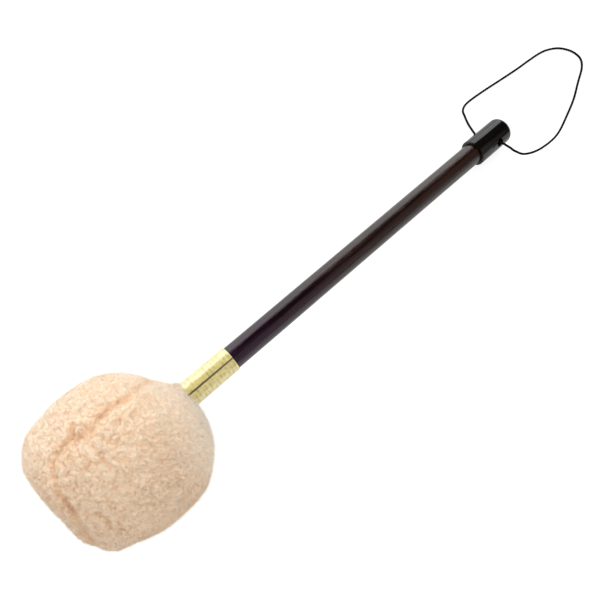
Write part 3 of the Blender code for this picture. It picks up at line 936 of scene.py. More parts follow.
def scatter(grid, count, rng):
    """Random places on a ring grid, even over its area: ring, segment and shares between them."""
    ahead = np.roll(grid, -1, axis=1)
    area = np.linalg.norm(np.cross(grid[1:] - grid[:-1], ahead[:-1] - grid[:-1]), axis=-1)
    reach = np.hypot(grid[:-1, :, 1], grid[:-1, :, 2])
    area[(grid[:-1, :, 0] > BARE_COLLAR_START) & (reach < BARE_COLLAR_RADIUS)] = 0.0
    total = np.cumsum(area.ravel())
    chosen = np.searchsorted(total, rng.random(count) * total[-1])
    ring, segment = np.unravel_index(chosen, area.shape)
    return ring, segment, rng.random(count), rng.random(count)


def between(grid, ring, segment, u, v):
    """Values of a ring grid at scattered places."""
    after = (segment + 1) % grid.shape[1]
    near = grid[ring, segment] * (1 - u)[:, None] + grid[ring, after] * u[:, None]
    far = grid[ring + 1, segment] * (1 - u)[:, None] + grid[ring + 1, after] * u[:, None]
    return near * (1 - v)[:, None] + far * v[:, None]


def brushed(places):
    """How far the pile is brushed aside at places of the mallet's frame, 0 to 1, and which way."""
    out = to_row(places) - to_row(HEAD_MIDDLE)
    share = rise(out @ np.array(BRUSHED_SIDE), 0.0, BRUSHED_SPREAD)
    return share, np.array(MALLET.to_3x3()).T @ np.array(BRUSHED_WAY)


def folds(places, size, seed):
    """Flat-topped lumps of a size with thin valleys between them, 0 to 1."""
    return 1.0 - np.exp(-np.abs(noise_at(places, size, seed)[:, 0]) / VALLEY_WIDTH)


def lumps(settings, places):
    """Soft lumps with thin curling valleys between them, and finer waves where it is brushed."""
    share, way = brushed(places)
    size = settings.lump_size
    bent = places + LUMP_BEND * size * noise_at(places, LUMP_BEND_SIZE * size, 1.0)

    def layered(stretch, layers):
        """Layers of folds, drawn out along the way the pile is brushed."""
        drawn = bent - stretch * (bent @ way)[:, None] * way
        return sum(part * folds(drawn, scale * size, seed) for part, scale, seed in layers)

    rounded = layered(LUMP_STRETCH, LUMP_LAYERS)
    waved = layered(WAVE_STRETCH, WAVE_LAYERS)
    return np.clip(LUMP_GAIN * (rounded + share * (waved - rounded)), 0.0, 1.0)


def uphill(grid, values):
    """The slope of a ring grid's values, as vectors."""
    around = np.roll(grid, -1, axis=1) - np.roll(grid, 1, axis=1)
    along = 2 * np.gradient(grid, axis=0)
    rise_around = np.roll(values, -1, axis=1) - np.roll(values, 1, axis=1)
    rise_along = 2 * np.gradient(values, axis=0)
    slope = around * (rise_around / np.maximum((around**2).sum(axis=-1), 1e-12))[..., None]
    return slope + along * (rise_along / np.maximum((along**2).sum(axis=-1), 1e-12))[..., None]


def tree_of(places):
    tree = KDTree(len(places))
    for i, place in enumerate(places):
        tree.insert(place, i)
    tree.balance()
    return tree


def noise_at(places, size, seed):
    """Smooth noise vectors, about -1 to 1, at an array of places."""
    shift = Vector((seed, 2.3 * seed, -1.7 * seed))
    return np.array([noise.noise_vector(Vector(place) / size + shift) for place in places])


def stuffing_swell(settings, polar, around):
    """How far the stuffing swells the cover at a grid's angles, from a cloth simulation."""
    coarse_polar, coarse_around = wool_grid(*TRIAL_GRID)
    form = head_form(coarse_polar, coarse_around)
    form = HEAD_MIDDLE + (form - HEAD_MIDDLE) * TRIAL_SCALE
    points = np.vstack([form.reshape(-1, 3), form[0].mean(axis=0), form[-1].mean(axis=0)])
    rings, segments = coarse_polar.shape
    faces = grid_faces(rings, segments)
    last = (rings - 1) * segments
    for i in range(segments):
        j = (i + 1) % segments
        faces += [(len(points) - 2, j, i), (len(points) - 1, last + i, last + j)]
    trial = mesh_object("stuffing_trial", points, faces)
    remesh = trial.modifiers.new("Even faces", "REMESH")
    remesh.mode = "VOXEL"
    remesh.voxel_size = TRIAL_FACE
    apply_modifier(trial, remesh)
    before = points_of(trial)
    ways = unit(before - HEAD_MIDDLE)
    sewn = trial.vertex_groups.new(name="sewn")
    held = strongest(CREASES, ways) > SEWN_DEPTH
    held |= np.hypot(before[:, 1], before[:, 2]) < SEWN_NECK
    sewn.add([int(i) for i in np.flatnonzero(held)], 1.0, "REPLACE")
    cloth = trial.modifiers.new("Stuffed", "CLOTH")
    cloth.settings.vertex_group_mass = "sewn"
    cloth.settings.use_pressure = True
    cloth.settings.uniform_pressure_force = STUFFING_PRESSURE
    cloth.settings.effector_weights.gravity = 0.0
    scene = bpy.context.scene
    for step in range(1, STUFFING_STEPS + 1):
        scene.frame_set(step)
    apply_modifier(trial, cloth)
    after = points_of(trial)
    bpy.data.objects.remove(trial, do_unlink=True)
    scene.frame_set(1)
    out = np.clip(((after - before) * ways).sum(axis=-1), 0.0, STUFFING_LIMIT)
    out = (np.minimum(out / np.percentile(out, 95), 1.0) - 0.7) * settings.swell
    tree = tree_of(ways)
    swell = np.empty(polar.size)
    for i, place in enumerate(directions(polar, around).reshape(-1, 3)):
        found = tree.find_n(place, 5)
        weights = [1.0 / (gap + BLEND_GAP) ** 2 for _, _, gap in found]
        swell[i] = sum(w * out[k] for w, (_, k, _) in zip(weights, found)) / sum(weights)
    return swell.reshape(polar.shape)


def points_of(item):
    places = np.empty(len(item.data.vertices) * 3)
    item.data.vertices.foreach_get("co", places)
    return places.reshape(-1, 3)


def to_row(places):
    """Places from the mallet's frame to the row frame."""
    return places @ np.array(MALLET.to_3x3()).T + np.array(MALLET.translation)


def quick_mesh(name, points, quads, triangles, uvs=None):
    """A new object from arrays of points and faces, with the UV of each face corner."""
    mesh = bpy.data.meshes.new(name)
    corners = np.concatenate([quads.ravel(), triangles.ravel()]).astype(np.int32)
    starts = np.concatenate(
        [np.arange(len(quads)) * 4, 4 * len(quads) + np.arange(len(triangles)) * 3]
    ).astype(np.int32)
    mesh.vertices.add(len(points))
    mesh.vertices.foreach_set("co", np.ascontiguousarray(points, np.float32).ravel())
    mesh.loops.add(len(corners))
    mesh.loops.foreach_set("vertex_index", corners)
    mesh.polygons.add(len(starts))
    mesh.polygons.foreach_set("loop_start", starts)
    if uvs is not None:
        layer = mesh.uv_layers.new(name=LOCK_MAP)
        layer.data.foreach_set("uv", np.ascontiguousarray(uvs, np.float32).ravel())
    mesh.update(calc_edges=True)
    mesh.validate()
    return new_object(name, mesh)


def outer_side(settings, polar, around):
    """The backing's outer side at a grid's angles, with its normals and its lumps' heights."""
    form = head_form(polar, around)
    out = unit(form - HEAD_MIDDLE)
    place = directions(polar, around)

    # The seams draw the cover in unevenly, and the stuffing swells it beyond the neck
    uneven = noise_at(form.reshape(-1, 3), PATCH_SIZE, 4.0)[:, 0].reshape(polar.shape)
    deepest = strongest(CREASES, place) * np.clip(1.0 + 0.6 * uneven, 0.5, 1.3)
    drawn = strongest(RIDGES, place) - strongest(FLATS, place) - deepest
    at_neck = rise(form[..., 0], -0.008, 0.008)
    under = settings.backing_depth * (1.0 - 0.8 * at_neck)
    stitched = form + out * (drawn - under)[..., None]
    swell = stuffing_swell(settings, polar, around) * rise(form[..., 0], 0.0, -0.015)
    form = stitched + out * swell[..., None]

    # A thin collar reaches the sleeve
    by_sleeve = rise(np.hypot(form[..., 1], form[..., 2]), 0.0120, -0.0028)
    by_sleeve *= polar > math.pi / 2
    form[..., 0] += by_sleeve * np.maximum(0.0, SLEEVE_START - CLEARANCE - form[..., 0])

    # Lumps, calmer towards the neck and the side, and stronger where the pile is brushed
    heights = lumps(settings, stitched.reshape(-1, 3)).reshape(polar.shape)
    normals = grid_normals(form)
    share = brushed(form.reshape(-1, 3))[0].reshape(polar.shape)
    calm = 1.0 - 0.4 * rise(form[..., 0], -0.03, 0.03) - 0.4 * rise(form[..., 1], 0.0, 0.04)
    calm = np.maximum(calm, 0.3) * (1.0 + 0.35 * share)
    form = form + out * ((heights - LUMP_MIDDLE) * calm * settings.lump_height)[..., None]
    # Painted shade: the heights that colour the pile drop in the creases
    heights = np.clip(heights * np.exp(-deepest / CREASE_SHADE), 0.0, 1.0)

    # Beside the neck nothing enters the handle
    reach = np.hypot(form[..., 1], form[..., 2])
    push = np.maximum(1.0, (HANDLE_RADIUS + CLEARANCE) / np.maximum(reach, 1e-9))
    form[..., 1:] *= np.where(polar > math.pi / 2, push, 1.0)[..., None]
    return form, normals, heights


def make_backing(settings):
    """The cover's backing: form, swell, creases and lumps outside, room for the felt inside."""
    form, normals, heights = outer_side(settings, *wool_grid(settings.rings, settings.segments))
    profile, last = lining_profile()
    rings, segments = heights.shape
    turn = np.linspace(0.0, math.tau, segments, endpoint=False)
    lining = [[(s, r * math.cos(a), r * math.sin(a)) for a in turn] for s, r in profile]
    lining = np.array(lining).reshape(-1, 3)
    tip = head_form(np.array([0.0001]), np.array([0.0]))[0] + [settings.backing_depth, 0.0, 0.0]
    points = np.vstack([form.reshape(-1, 3), lining, tip, (last, 0.0, 0.0)])
    quads = np.array(grid_faces(rings + len(profile), segments))
    near = np.arange(segments)
    far = (near + 1) % segments
    start = (rings + len(profile) - 1) * segments
    poles = np.full(segments, len(points) - 2), np.full(segments, len(points) - 1)
    triangles = np.vstack(
        [np.stack([poles[0], near, far], 1), np.stack([poles[1], start + far, start + near], 1)]
    )
    world = to_row(points)
    world[:, 2] = np.maximum(world[:, 2], CLEARANCE)
    made = quick_mesh("wool_backing", world, quads, triangles)
    # Low lump_height values paint shade into the backing's valleys and creases
    keep_values(made, "lump_height", np.append(heights, np.zeros(len(lining) + 2)))
    face_outwards(made)
    return made, form, normals, heights


def lock_paths(settings, form, normals, heights, rng):
    """Centrelines of the locks at LOCK_STEPS, with each lock's width and tint."""
    count = settings.locks
    ring, segment, u, v = scatter(form, count, rng)
    root = between(form, ring, segment, u, v)
    up = unit(between(normals, ring, segment, u, v))
    height = between(heights[..., None], ring, segment, u, v)[:, 0]

    # Locks are pulled up the slopes of the lumps, and lean together and with the brushed pile
    pull = between(uphill(form, heights), ring, segment, u, v)
    pull *= (LOCK_PULL / np.maximum(np.linalg.norm(pull, axis=1), STEEPEST))[:, None]
    share, way = brushed(root)
    push = sum(0.5 * noise_at(root, size, seed) for size, seed in LEAN_LAYERS)
    push += 0.12 * rng.normal(0.0, 1.0, (count, 3)) + 0.7 * share[:, None] * way
    push -= up * (push * up).sum(axis=1)[:, None]

    # Some are long strays, and those beside the sleeve reach over it
    long = settings.pile_length * rng.uniform(0.75, 1.2, count)
    stray = rng.random(count) < STRAY_SHARE
    long[stray] *= STRAY_LENGTH
    neck = rise(root[:, 0], -0.006, 0.005)
    long *= 1.0 + (0.35 + 0.1 * rise(root[:, 1], 0.0, 0.004)) * neck

    # Each one curls about its own path
    first = unit(np.cross(up, rng.normal(0.0, 1.0, (count, 3))))
    second = np.cross(up, first)
    phase = rng.uniform(0.0, math.tau, count)
    wind = rng.uniform(3.0, 7.0, count) * rng.choice([-1.0, 1.0], count)
    curl = 0.13 * long * rng.uniform(0.5, 1.5, count)
    centres = []
    for t in LOCK_STEPS:
        stands = long * (0.85 * t - 0.30 * t**2) - ROOT_DEPTH
        turn = phase + wind * t
        centre = root + up * stands[:, None] + pull * t**1.5
        centre += push * (long * 0.6 * t**1.6)[:, None]
        centre += first * (curl * (np.cos(turn) - np.cos(phase)))[:, None]
        centre += second * (curl * (np.sin(turn) - np.sin(phase)))[:, None]
        reach = np.hypot(centre[:, 1], centre[:, 2])
        clear = np.maximum(1.0, CLEAR_RADIUS / np.maximum(reach, 1e-9))
        centre[:, 1:] *= np.where(centre[:, 0] > CLEAR_START, clear, 1.0)[:, None]
        centres.append(centre)
    centres = to_row(np.stack(centres, axis=1).reshape(-1, 3)).reshape(count, len(LOCK_STEPS), 3)
    centres[..., 2] = np.maximum(centres[..., 2], FLOOR_GAP + 0.0003 * rng.random((count, 1)))

    # Strays are thin; tints follow random patches, with painted shade in valleys and painted light
    # at the neck and lit side
    width = settings.lock_width * rng.uniform(0.7, 1.25, count)
    width[stray] *= STRAY_WIDTH
    patches = noise_at(root, PATCH_SIZE, 9.0)[:, 0]
    # Painted shade: locks in the lumps' valleys and the creases get lower tints
    tint = 0.42 + 0.12 * patches + 0.7 * (height - LUMP_MIDDLE) + rng.normal(0.0, 0.04, count)
    # Painted light: paler towards the neck and the +y side, which faces the key lamp
    tint += 0.7 * rise(root[:, 0], -0.028, 0.028) + 0.28 * rise(root[:, 1], 0.0, 0.04)
    return centres, width, np.clip(tint, 0.0, 0.999)


def make_locks(name, centres, width, tint):
    """One piece of many locks, each a bent copy of one tapered lock with three sides."""
    count, steps = centres.shape[:2]
    ahead = unit(centres[:, -1] - centres[:, 0])
    side = unit(np.cross(ahead, np.roll(ahead, 1, axis=1) + 0.1))
    across = np.cross(ahead, side)
    radius = 0.5 * width[:, None] * np.array(LOCK_TAPER)
    rings = []
    for k in range(3):
        angle = math.tau * k / 3
        way = side * math.cos(angle) + across * math.sin(angle)
        rings.append(centres[:, :-1] + radius[..., None] * way[:, None, :])
    body = np.stack(rings, axis=2).reshape(count, -1, 3)
    points = np.concatenate([body, centres[:, -1:]], axis=1)
    each = points.shape[1]
    quads, triangles, quad_uv, triangle_uv = [], [], [], []
    for ring in range(steps - 2):
        for k in range(3):
            a, b = 3 * ring + k, 3 * ring + (k + 1) % 3
            quads.append((a, b, b + 3, a + 3))
            low, high = LOCK_STEPS[ring], LOCK_STEPS[ring + 1]
            quad_uv.append([(k, low), (k + 1, low), (k + 1, high), (k, high)])
    top = 3 * (steps - 2)
    for k in range(3):
        triangles.append((top + k, top + (k + 1) % 3, each - 1))
        triangle_uv.append([(k, LOCK_STEPS[-2]), (k + 1, LOCK_STEPS[-2]), (k + 0.5, 1.0)])
    triangles.append((2, 1, 0))
    triangle_uv.append([(0.0, 0.0), (3.0, 0.0), (1.5, 0.03)])
    shift = np.arange(count)[:, None, None] * each
    quads = (np.array(quads)[None] + shift).reshape(-1, 4)
    triangles = (np.array(triangles)[None] + shift).reshape(-1, 3)
    column = np.floor(tint * LOCK_TINTS)
    parts = []
    for faces in (quad_uv, triangle_uv):
        corner = np.repeat(np.array(faces).reshape(1, -1, 2), count, axis=0)
        corner[..., 0] = (column[:, None] + 0.1 + 0.8 * corner[..., 0] / 3) / LOCK_TINTS
        corner[..., 1] = 0.01 + 0.98 * corner[..., 1]
        parts.append(corner.reshape(-1, 2))
    made = quick_mesh(name, points.reshape(-1, 3), quads, triangles, np.concatenate(parts))
    make_active(made)
    bpy.ops.object.shade_smooth()
    return made


class MALLET_OT_wool(bpy.types.Operator):
    """Makes the wool cover of the head and its pile"""

    bl_idname = "mallet.wool"
    bl_label = "Wool Cover"

    def execute(self, context):
        settings = context.scene.mallet_wool
        noise.seed_set(NOISE_SEED)
        backing, form, normals, heights = make_backing(settings)
        finish_piece(backing, "mallet", wool_backing_material(settings), "wool_cover", "wool_cover")
        rng = np.random.default_rng(LOCK_SEED)
        centres, width, tint = lock_paths(settings, form, normals, heights, rng)
        order = np.argsort(centres[:, 0, 0], kind="stable")
        material = wool_lock_material(settings)
        for part, start in enumerate(range(0, settings.locks, LOCKS_IN_PIECE), 1):
            chosen = order[start : start + LOCKS_IN_PIECE]
            locks = make_locks(f"wool_locks_{part}", centres[chosen], width[chosen], tint[chosen])
            finish_piece(locks, "mallet", material, "wool_cover")
        return {"FINISHED"}


class MALLET_OT_handle(bpy.types.Operator):
    """Makes the stained handle with its tenon and chamfered end"""

    bl_idname = "mallet.handle"
    bl_label = "Handle"

    def execute(self, context):
        radius, tenon, chamfer, ease, washer_gap = HANDLE_RADIUS, 0.006, 0.001, 0.0005, 0.0015
        far = (MALLET.inverted() @ node_middle("end_washer")).x + washer_gap
        profile = [(HANDLE_END, radius - chamfer), (HANDLE_END - chamfer, radius)]
        profile += [(SHOULDER + ease, radius), (SHOULDER, radius - ease)]
        profile += [(SHOULDER, tenon), (far, tenon)]
        handle = lathe("stained_handle", profile, TURNED_SIDES)
        smooth(handle)
        place_on_mallet(handle)
        wood = wood_material(context.scene.mallet_handle)
        finish_piece(handle, "mallet", wood, "handle_shaft", "handle_shaft")
        return {"FINISHED"}


class MALLET_OT_sleeve(bpy.types.Operator):
    """Makes the lapped gold foil sleeve"""

    bl_idname = "mallet.sleeve"
    bl_label = "Gold Sleeve"

    def execute(self, context):
        settings = context.scene.mallet_sleeve
        outer = settings.radius - settings.overlap / 2
        fit, edge = 0.00005, 0.0001
        inner = HANDLE_RADIUS + fit
        profile = [(SLEEVE_END, outer - edge), (SLEEVE_END - edge, outer)]
        profile += [(SLEEVE_START + edge, outer), (SLEEVE_START, outer - edge)]
        profile += [(SLEEVE_START, inner), (SLEEVE_END, inner)]
        sleeve = lathe("gold_foil_sleeve", profile, SLEEVE_SIDES, closed=True)
        self.lap(sleeve, settings)
        smooth(sleeve)
        place_on_mallet(sleeve)
        finish_piece(sleeve, "mallet", foil_material(settings), "gold_sleeve", "gold_sleeve")
        return {"FINISHED"}

    def lap(self, sleeve, settings):
        """Opens a narrow step along the sleeve and raises the foil towards it, once round."""
        seam = round(settings.lap_angle / (math.tau / SLEEVE_SIDES)) * math.tau / SLEEVE_SIDES

        def past_seam(place):
            return (math.atan2(place.z, place.y) - seam + math.pi) % math.tau - math.pi

        def is_outside(place):
            return math.hypot(place.y, place.z) > HANDLE_RADIUS + 0.0001

        make_active(sleeve)
        bpy.ops.object.mode_set(mode="EDIT")
        bpy.ops.mesh.select_mode(type="EDGE")
        shape = bmesh.from_edit_mesh(sleeve.data)
        for edge in shape.edges:
            on_seam = [is_outside(v.co) and abs(past_seam(v.co)) < 0.005 for v in edge.verts]
            edge.select_set(all(on_seam))
        bmesh.update_edit_mesh(sleeve.data)
        bpy.ops.mesh.bevel(offset=LAP_EDGE_WIDTH, offset_type="OFFSET", segments=1)
        bpy.ops.object.mode_set(mode="OBJECT")
        foil = sleeve.vertex_groups.new(name="foil")
        edge = []
        for vertex in sleeve.data.vertices:
            angle, outside = past_seam(vertex.co), is_outside(vertex.co)
            darkness = 0.8 + 0.2 * math.sin(330.0 * vertex.co.x + 1.0)
            edge.append(darkness if outside and abs(angle) < 0.06 else 0.0)
            if outside:
                foil.add([vertex.index], (angle % math.tau) / math.tau, "REPLACE")
        keep_values(sleeve, "lap_edge", edge)
        raised = sleeve.modifiers.new("Foil wound once round", "DISPLACE")
        raised.strength = settings.overlap
        raised.mid_level = 0.0
        raised.vertex_group = foil.name
        apply_modifier(sleeve, raised)


class MALLET_OT_cap(bpy.types.Operator):
    """Makes the moulded end cap with its bore and cord hole"""

    bl_idname = "mallet.cap"
    bl_label = "End Cap"

    def execute(self, context):
        settings = context.scene.mallet_cap
        outer, corner, lip = settings.radius, settings.end_radius, 0.0006
        bore = HANDLE_RADIUS + CLEARANCE
        end_wall, row_gap, rows_beside = 0.004, 0.0009, 7
        bottom = CAP_END - end_wall
        rows = [CORD_HOLE + row_gap * i for i in range(rows_beside, -rows_beside - 1, -1)]
        dome = [(CAP_END + 0.0002, 0.0005), (CAP_END + 0.00015, 0.003)]
        profile = dome + arc(CAP_END - corner, outer - corner, corner, 0, 90, 12)
        profile += [(row, outer) for row in rows if row < CAP_END - corner]
        profile += arc(CAP_MOUTH + lip, outer - lip, lip, 90, 180, 5)
        profile += [(CAP_MOUTH, bore)]
        profile += [(row, bore) for row in reversed(rows) if row < bottom]
        profile += [(bottom, bore), (bottom, 0.002)]
        cap = lathe("moulded_end_cap", profile, TURNED_SIDES)
        place_on_mallet(cap)
        self.drill(cap, settings)
        smooth(cap)
        finish_piece(cap, "mallet", cap_material(settings), "end_cap", "end_cap")
        return {"FINISHED"}

    def drill(self, cap, settings):
        """Cuts the cord hole through both walls and rounds its rims."""
        deselect()
        turn = HOLE_AXIS.to_track_quat("Z", "Y").to_euler()
        bpy.ops.mesh.primitive_cylinder_add(
            vertices=HOLE_SIDES, radius=settings.hole / 2, depth=0.04, location=HOLE, rotation=turn
        )
        cutter = bpy.context.object
        hole = cap.modifiers.new("Cord hole", "BOOLEAN")
        hole.object = cutter
        hole.solver = "EXACT"
        apply_modifier(cap, hole)
        bpy.data.objects.remove(cutter, do_unlink=True)
        make_active(cap)
        bpy.ops.object.mode_set(mode="EDIT")
        bpy.ops.mesh.select_mode(type="EDGE")
        bpy.ops.mesh.select_all(action="DESELECT")
        shape = bmesh.from_edit_mesh(cap.data)

        def on_rim(place):
            from_hole = place - HOLE
            beside = (from_hole - HOLE_AXIS * from_hole.dot(HOLE_AXIS)).length
            from_axis = place - NECK
            out = (from_axis - AXIS * from_axis.dot(AXIS)).length
            on_hole = abs(beside - settings.hole / 2) < 0.00003
            return on_hole and abs(out - settings.radius) < 0.00008

        for edge in shape.edges:
            edge.select_set(all(on_rim(vertex.co) for vertex in edge.verts))
        bmesh.update_edit_mesh(cap.data)
        bpy.ops.mesh.bevel(offset=0.00025, offset_type="OFFSET", segments=3)
        bpy.ops.object.mode_set(mode="OBJECT")


def smooth_line(points, spacing):
    """Even points along a Catmull-Rom curve through the given ones."""
    padded = [2 * points[0] - points[1]] + points + [2 * points[-1] - points[-2]]
    fine, shares = [], 20
    for a, b, c, d in zip(padded, padded[1:], padded[2:], padded[3:]):
        for i in range(shares):
            t = i / shares
            fine.append(
                0.5 * (2 * b + (c - a) * t + (2 * a - 5 * b + 4 * c - d) * t**2)
                + 0.5 * (3 * b - a - 3 * c + d) * t**3
            )
    fine.append(points[-1])
    steps = [(q - p).length for p, q in zip(fine, fine[1:])]
    along = np.concatenate([[0.0], np.cumsum(steps)])
    wanted = np.linspace(0.0, along[-1], max(2, round(along[-1] / spacing)) + 1)
    columns = [np.interp(wanted, along, [p[axis] for p in fine]) for axis in range(3)]
    return [Vector(place) for place in zip(*columns)]


def cord_line(spacing):
    """The cord's centreline, from its end in the cap's hollow out, round and in again."""

    def place(x, y, z=CORD_LIE):
        return Vector((HOLE.x + x, HOLE.y + y, z))

    route = [HOLE + HOLE_AXIS * CORD_OUTSIDE] + [place(*row) for row in CORD_ROUTE]
    route.append(HOLE - HOLE_AXIS * CORD_OUTSIDE)
    line = smooth_line(route, spacing)
    count = round((CORD_OUTSIDE - CORD_INSIDE) / spacing)
    stub = [CORD_INSIDE + (CORD_OUTSIDE - CORD_INSIDE) * i / count for i in range(count)]
    start = [HOLE + HOLE_AXIS * s for s in stub]
    end = [HOLE - HOLE_AXIS * s for s in reversed(stub)]
    return start + line + end


def carried_frames(line):
    """A side and an up vector for each point of a line, carried along it without twist."""
    frames = []
    side = Vector((0.0, 0.0, 1.0))
    for i in range(len(line)):
        ahead = (line[min(i + 1, len(line) - 1)] - line[max(i - 1, 0)]).normalized()
        side = (side - ahead * side.dot(ahead)).normalized()
        frames.append((side, ahead.cross(side)))
    return frames


def make_cord(settings):
    """A braided cord as one closed tube, its strands raised where they cross."""
    line = cord_line(settings.step)
    sides = CORD_SIDES
    radius = settings.diameter / 2
    points, crown = [], []
    along = 0.0
    for i, (centre, (side, up)) in enumerate(zip(line, carried_frames(line))):
        if i:
            along += (centre - line[i - 1]).length
        for k in range(sides):
            angle = math.tau * k / sides
            wind = math.tau * along / settings.pitch
            left = math.cos(settings.plaits * (angle - wind))
            right = math.cos(settings.plaits * (angle + wind))
            raised = 0.5 + 0.5 * left * right
            size = radius * (0.94 + 0.06 * raised)
            points.append(centre + side * (size * math.cos(angle)) + up * (size * math.sin(angle)))
            crown.append(raised)
    faces = [face[::-1] for face in grid_faces(len(line), sides)]
    first, last = len(points), len(points) + 1
    points += [line[0], line[-1]]
    crown += [0.0, 0.0]
    base = (len(line) - 1) * sides
    for k in range(sides):
        m = (k + 1) % sides
        faces.append((first, m, k))
        faces.append((last, base + k, base + m))
    made = mesh_object("braided_cord", points, faces)
    # The crown values also colour the cord: low ones paint shade between the strands
    keep_values(made, "crown", crown)
    face_outwards(made)
    return made, line


class MALLET_OT_cord(bpy.types.Operator):
    """Makes the hanging cord that leaves the cap on both sides"""

    bl_idname = "mallet.cord"
    bl_label = "Hanging Cord"

    def execute(self, context):
        settings = context.scene.mallet_cord
        cord, line = make_cord(settings)
        finish_piece(cord, "cord", cord_material(settings), "hanging_loop", "hanging_loop")
        return {"FINISHED"}


class MALLET_OT_inner(bpy.types.Operator):
    """Finishes the pieces inside the head and the cap"""

    bl_idname = "mallet.inner"
    bl_label = "Inner Pieces"

    def execute(self, context):
        felt = felt_material("pressed_felt", (0.55, 0.53, 0.48))
        disc_felt = felt_material("dense_felt", (0.45, 0.43, 0.40))
        thread = felt_material("waxed_thread", (0.60, 0.55, 0.46))
        steel = steel_material()
        finishes = {
            "felt_jacket": felt,
            "felt_roll": felt,
            "far_felt_disc": disc_felt,
            "neck_felt_ring": disc_felt,
            "neck_binding": thread,
            "head_core": bare_wood_material(),
            "neck_washer": steel,
            "end_washer": steel,
            "core_screw": steel,
            "loop_knot": cord_material(context.scene.mallet_cord, "waxed_knot"),
        }
        for name, material in finishes.items():
            slots = NODES[name].material_slots
            if not slots:
                NODES[name].data.materials.append(material)
            for slot in slots:
                slot.material = material
        return {"FINISHED"}


def aim(item, direction):
    """Turns a camera or lamp to look along a direction."""
    item.rotation_mode = "QUATERNION"
    item.rotation_quaternion = direction.to_track_quat("-Z", "Y")


def softbox(name, target, direction, distance, width, height, level):
    """A white rectangular lamp of a given brightness, where 1 is white, hidden from the camera."""
    lamp = bpy.data.lights.new(name, "AREA")
    lamp.shape = "RECTANGLE"
    lamp.size = width
    lamp.size_y = height
    lamp.energy = level * math.pi * width * height
    item = new_object(name, lamp)
    item.location = target + direction.normalized() * distance
    aim(item, -direction.normalized())
    item.visible_camera = False


WHITE = (1.0, 1.0, 1.0, 1.0)


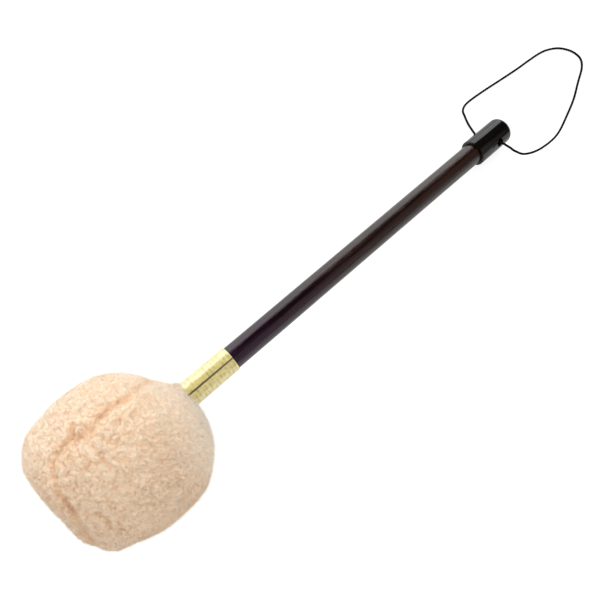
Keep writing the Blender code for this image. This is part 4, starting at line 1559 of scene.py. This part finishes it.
class MALLET_OT_stage(bpy.types.Operator):
    """Makes the floor, the light and the camera"""

    bl_idname = "mallet.stage"
    bl_label = "Studio"

    def execute(self, context):
        settings = context.scene.mallet_stage
        target = NECK + AXIS * settings.aim_station
        self.camera(settings, target)
        self.floor()
        self.world(context.scene)
        key_target, key_direction = Vector((0.45, 0.0, 0.22)), Vector((0.0, 1.0, 0.28))
        softbox("key", key_target, key_direction, distance=0.9, width=2.3, height=0.7, level=2.1)
        context.scene.view_settings.view_transform = "Standard"
        return {"FINISHED"}

    def camera(self, settings, target):
        data = bpy.data.cameras.new("camera")
        data.sensor_width = 36.0
        data.lens = settings.lens
        data.clip_start = 0.01
        item = new_object("camera", data)
        turn, lift = settings.azimuth, settings.elevation
        level = math.cos(lift)
        back = Vector((math.sin(turn) * level, -math.cos(turn) * level, math.sin(lift)))
        item.location = target + back * settings.distance
        aim(item, -back)
        roll = Matrix.Rotation(settings.roll, 4, back)
        item.rotation_quaternion = roll.to_quaternion() @ item.rotation_quaternion
        bpy.context.scene.camera = item

    def floor(self):
        deselect()
        bpy.ops.mesh.primitive_plane_add(size=12.0, location=(0.0, 0.0, 0.0))
        floor = bpy.context.object
        floor.name = "floor"
        made = bpy.data.materials.new("white_paper")
        made.use_nodes = True
        made.node_tree.nodes.clear()
        add = nodes_of(made.node_tree)
        lit = add("ShaderNodeBsdfDiffuse", {"Color": (0.80, 0.80, 0.80, 1.0)})
        shaded = add("ShaderNodeBsdfDiffuse", {"Color": (0.36, 0.36, 0.36, 1.0)})
        glow = add("ShaderNodeEmission", {"Color": WHITE, "Strength": 0.75})
        shown = add("ShaderNodeAddShader", {0: shaded.outputs[0], 1: glow.outputs[0]})
        ray = add("ShaderNodeLightPath").outputs
        seen = combine(add, "MAXIMUM", ray["Is Camera Ray"], ray["Is Transmission Ray"])
        surface = mix_shaders(add, seen, lit, shown).outputs[0]
        add("ShaderNodeOutputMaterial", {"Surface": surface})
        floor.data.materials.append(made)

    def world(self, scene):
        made = bpy.data.worlds.new("studio")
        scene.world = made
        made.use_nodes = True
        made.node_tree.nodes.clear()
        add = nodes_of(made.node_tree)
        ray = add("ShaderNodeLightPath").outputs
        towards = add("ShaderNodeTexCoord").outputs["Generated"]

        def level(direction, low, high, least, most):
            """A brightness from least to most as the view turns towards a direction."""
            along = add("ShaderNodeVectorMath", {0: towards, 1: direction}, operation="DOT_PRODUCT")
            value = along.outputs["Value"]
            return ramp(add, value, low, high, least, most, interpolation_type="SMOOTHSTEP")

        def background(strength):
            return add("ShaderNodeBackground", {"Color": WHITE, "Strength": strength})

        above = level((0.48, 0.0, 0.88), low=-0.6, high=1.0, least=0.55, most=1.2)
        ambient = background(above)
        backdrop = level((0.0, 0.0, 1.0), low=0.03, high=0.2, least=1.0, most=0.015)
        window = level((0.3, -0.73, 0.61), low=0.8, high=0.985, least=0.015, most=0.4)
        room = background(combine(add, "MAXIMUM", backdrop, window))
        gloss = combine(add, "MAXIMUM", ray["Is Glossy Ray"], ray["Is Transmission Ray"])
        lit = mix_shaders(add, gloss, ambient, room)
        surface = mix_shaders(add, ray["Is Camera Ray"], lit, background(1.0)).outputs[0]
        add("ShaderNodeOutputWorld", {"Surface": surface})


class MALLET_PT_sidebar(bpy.types.Panel):
    """Lists the pieces of the mallet."""

    bl_idname = "MALLET_PT_sidebar"
    bl_label = "Gong Mallet"
    bl_space_type = "VIEW_3D"
    bl_region_type = "UI"
    bl_category = "Gong Mallet"

    def draw(self, context):
        for operator in OPERATORS:
            self.layout.operator(operator.bl_idname)
        for name in SETTINGS:
            box = self.layout.box()
            group = getattr(context.scene, name)
            for field in group.bl_rna.properties.keys():
                if field not in {"rna_type", "name"}:
                    box.prop(group, field)


SETTINGS = {
    "mallet_wool": WoolSettings,
    "mallet_handle": HandleSettings,
    "mallet_sleeve": SleeveSettings,
    "mallet_cap": CapSettings,
    "mallet_cord": CordSettings,
    "mallet_stage": StageSettings,
}

OPERATORS = [
    MALLET_OT_stage,
    MALLET_OT_cord,
    MALLET_OT_wool,
    MALLET_OT_handle,
    MALLET_OT_sleeve,
    MALLET_OT_cap,
    MALLET_OT_inner,
]


def register():
    for item in [*SETTINGS.values(), *OPERATORS, MALLET_PT_sidebar]:
        bpy.utils.register_class(item)
    for name, group in SETTINGS.items():
        setattr(bpy.types.Scene, name, PointerProperty(type=group))


def unregister():
    for name in SETTINGS:
        delattr(bpy.types.Scene, name)
    for item in reversed([*SETTINGS.values(), *OPERATORS, MALLET_PT_sidebar]):
        bpy.utils.unregister_class(item)


def main():
    register()
    make_groups()
    bpy.ops.mallet.stage()
    bpy.ops.mallet.cord()
    bpy.ops.mallet.wool()
    bpy.ops.mallet.handle()
    bpy.ops.mallet.sleeve()
    bpy.ops.mallet.cap()
    bpy.ops.mallet.inner()


if __name__ == "__main__":
    main()
